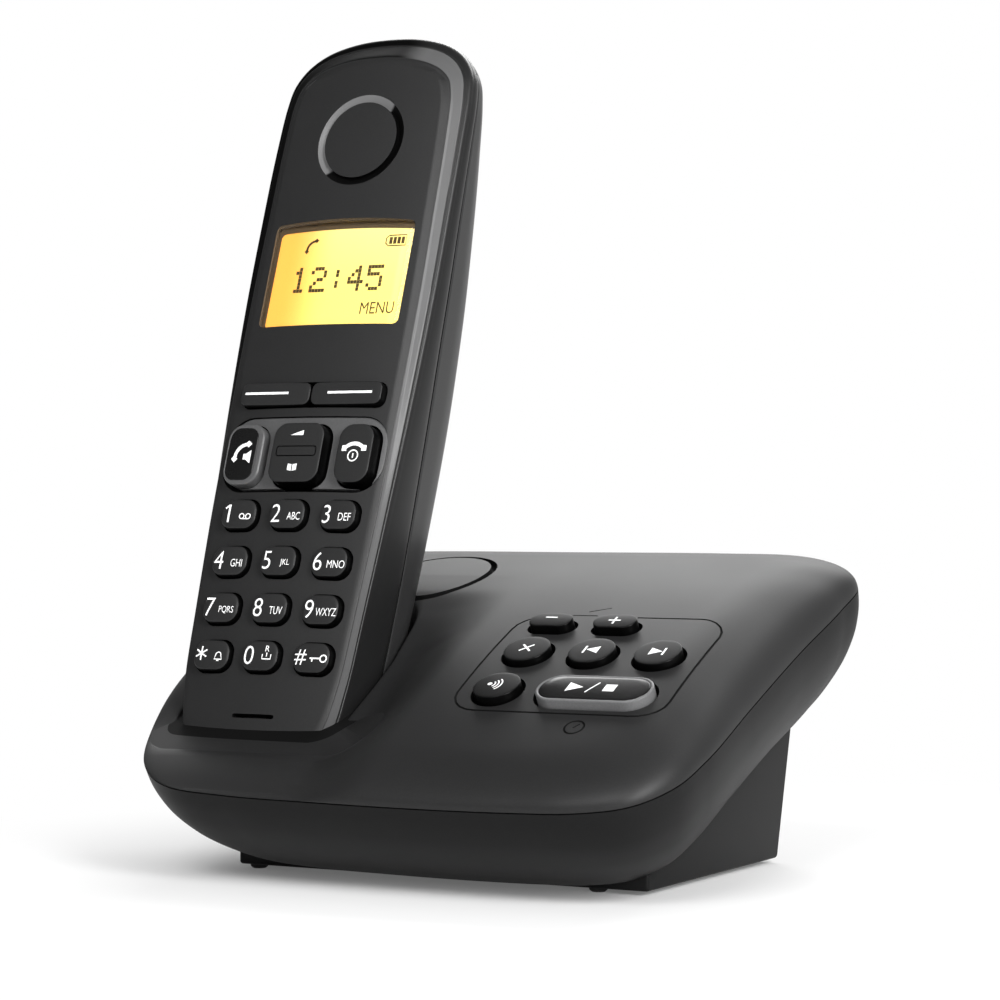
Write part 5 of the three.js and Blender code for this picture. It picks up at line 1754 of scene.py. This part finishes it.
class PHONE_OT_stage(bpy.types.Operator):
    """Pale floor, white room, soft boxes and the camera of the picture"""

    bl_idname = "phone.stage"
    bl_label = "Studio"

    def execute(self, context):
        context.scene.view_settings.view_transform = "Standard"
        self.floor()
        self.room(context.scene)
        f = finishes()
        middle = (0, 0, 0.05)
        self.soft_box("top_box", (-0.1, 0.8, 0.75), middle, 1.0, 0.4, f.key_light)
        self.soft_box("side_box", (0.85, -0.5, 0.45), (-0.04, -0.03, 0.1), 0.35, 0.7, f.side_light)
        self.soft_box("front_box", (0.1, -0.95, 0.75), middle, 0.5, 0.4, f.fill_light)
        self.camera(context.scene)
        return {"FINISHED"}

    def floor(self):
        rings = [level(circle(r, (0, 0), 96), 0) for r in (3.0, 1.2, 0.5, 0.2)]
        floor = Shape().skin(rings, low=False).object("studio_floor", [self.floor_paint()])

    def floor_paint(self):
        paint = bpy.data.materials.new("studio_floor")
        paint.use_nodes = True
        tree = paint.node_tree
        tree.nodes.clear()
        out = tree.nodes.new("ShaderNodeOutputMaterial")
        place = Value(tree, tree.nodes.new("ShaderNodeTexCoord").outputs["Object"])
        far = place.node("ShaderNodeVectorMath", {"operation": "LENGTH"}, {0: place}, 1)
        seen, mirrored, through = rays(tree)
        shown = seen.larger(mirrored).larger(through)
        matt = tree.nodes.new("ShaderNodeBsdfDiffuse")
        matt.inputs["Color"].default_value = rgba(finishes().floor)
        glow = tree.nodes.new("ShaderNodeEmission")
        mixed = tree.nodes.new("ShaderNodeMixShader")
        # Glow makes the pale backdrop far out; nearer, growing away from the object and towards its
        # left, it is painted light that thins the object's shadow, most on the left.
        share = (0.12 + 0.88 * (far - place.axis(0) * 0.45).smooth(0.07, 0.21)) * shown
        tree.links.new(share.socket, mixed.inputs[0])
        tree.links.new(matt.outputs[0], mixed.inputs[1])
        tree.links.new(glow.outputs[0], mixed.inputs[2])
        tree.links.new(mixed.outputs[0], out.inputs["Surface"])
        return paint

    def room(self, scene):
        """A white room: plain for matt surfaces, dimmer towards its front in reflections."""
        world = bpy.data.worlds.new("white_room")
        scene.world = world
        world.use_nodes = True
        tree = world.node_tree
        seen, mirrored, through = rays(tree)
        way = Value(tree, tree.nodes.new("ShaderNodeTexCoord").outputs["Generated"])
        across, along, high = (way.axis(index) for index in range(3))
        behind = (along + across * 0.6).smooth(-0.25, 0.4)
        overhead, right = high.smooth(0.55, 0.9), across.smooth(0.1, 0.6)
        bright = 0.1 + 0.9 * behind * (1 - 0.6 * overhead) * (1 - 0.6 * right)
        matt = (1 - seen.larger(mirrored).larger(through)) * finishes().world
        background = tree.nodes["Background"]
        background.inputs["Color"].default_value = (1, 1, 1, 1)
        strength = matt + mirrored * bright + seen.larger(through)
        tree.links.new(strength.socket, background.inputs["Strength"])

    def soft_box(self, name, place, aim, width, height, watts):
        lamp = bpy.data.lights.new(name, "AREA")
        lamp.shape = "RECTANGLE"
        lamp.size, lamp.size_y = width, height
        lamp.energy = watts
        obj = bpy.data.objects.new(name, lamp)
        obj.location = place
        away = Vector(place) - Vector(aim)
        obj.rotation_euler = away.to_track_quat("Z", "Y").to_euler()
        bpy.context.collection.objects.link(obj)

    def camera(self, scene):
        lens = bpy.data.cameras.new("photo_camera")
        lens.lens = 109.61
        lens.sensor_width = 36
        lens.clip_start = 0.01
        camera = bpy.data.objects.new("photo_camera", lens)
        camera.location = (0.302529, -0.546010, 0.07766)
        camera.rotation_euler = (math.radians(90 - 0.1797), 0, math.radians(28.5827))
        bpy.context.collection.objects.link(camera)
        scene.camera = camera


class PHONE_PT_sizes(bpy.types.Panel):
    """Sizes and colours of the telephone"""

    bl_idname = "PHONE_PT_sizes"
    bl_label = "Answering machine"
    bl_space_type = "VIEW_3D"
    bl_region_type = "UI"
    bl_category = "Phone"

    def draw(self, context):
        layout = self.layout
        for title, owner in (
            ("Base", base()), ("Buttons", panel()), ("Handset", handset()), ("Finish", finishes()),
        ):
            box = layout.box()
            box.label(text=title)
            for name in type(owner).__annotations__:
                box.prop(owner, name)
        for operator in PIECES:
            layout.operator(operator.bl_idname)
        layout.operator(PHONE_OT_stage.bl_idname)


PIECES = (
    PHONE_OT_base_top,
    PHONE_OT_base_bottom,
    PHONE_OT_base_buttons,
    PHONE_OT_handset_front,
    PHONE_OT_handset_keys,
    PHONE_OT_window,
    PHONE_OT_handset_back,
    PHONE_OT_inside,
)
GROUPS = {
    "phone_base": BaseSizes,
    "phone_panel": PanelSizes,
    "phone_handset": HandsetSizes,
    "phone_finishes": Finishes,
}


def register():
    for kind in (*GROUPS.values(), *PIECES, PHONE_OT_stage, PHONE_PT_sizes):
        bpy.utils.register_class(kind)
    for name, kind in GROUPS.items():
        setattr(bpy.types.Scene, name, bpy.props.PointerProperty(type=kind))


def unregister():
    for name in GROUPS:
        delattr(bpy.types.Scene, name)
    for kind in (PHONE_PT_sizes, PHONE_OT_stage, *PIECES, *reversed(GROUPS.values())):
        bpy.utils.unregister_class(kind)


def main():
    register()
    for operator in (*PIECES, PHONE_OT_stage):
        name = operator.bl_idname.split(".")[1]
        getattr(bpy.ops.phone, name)()


if __name__ == "__main__":
    main()
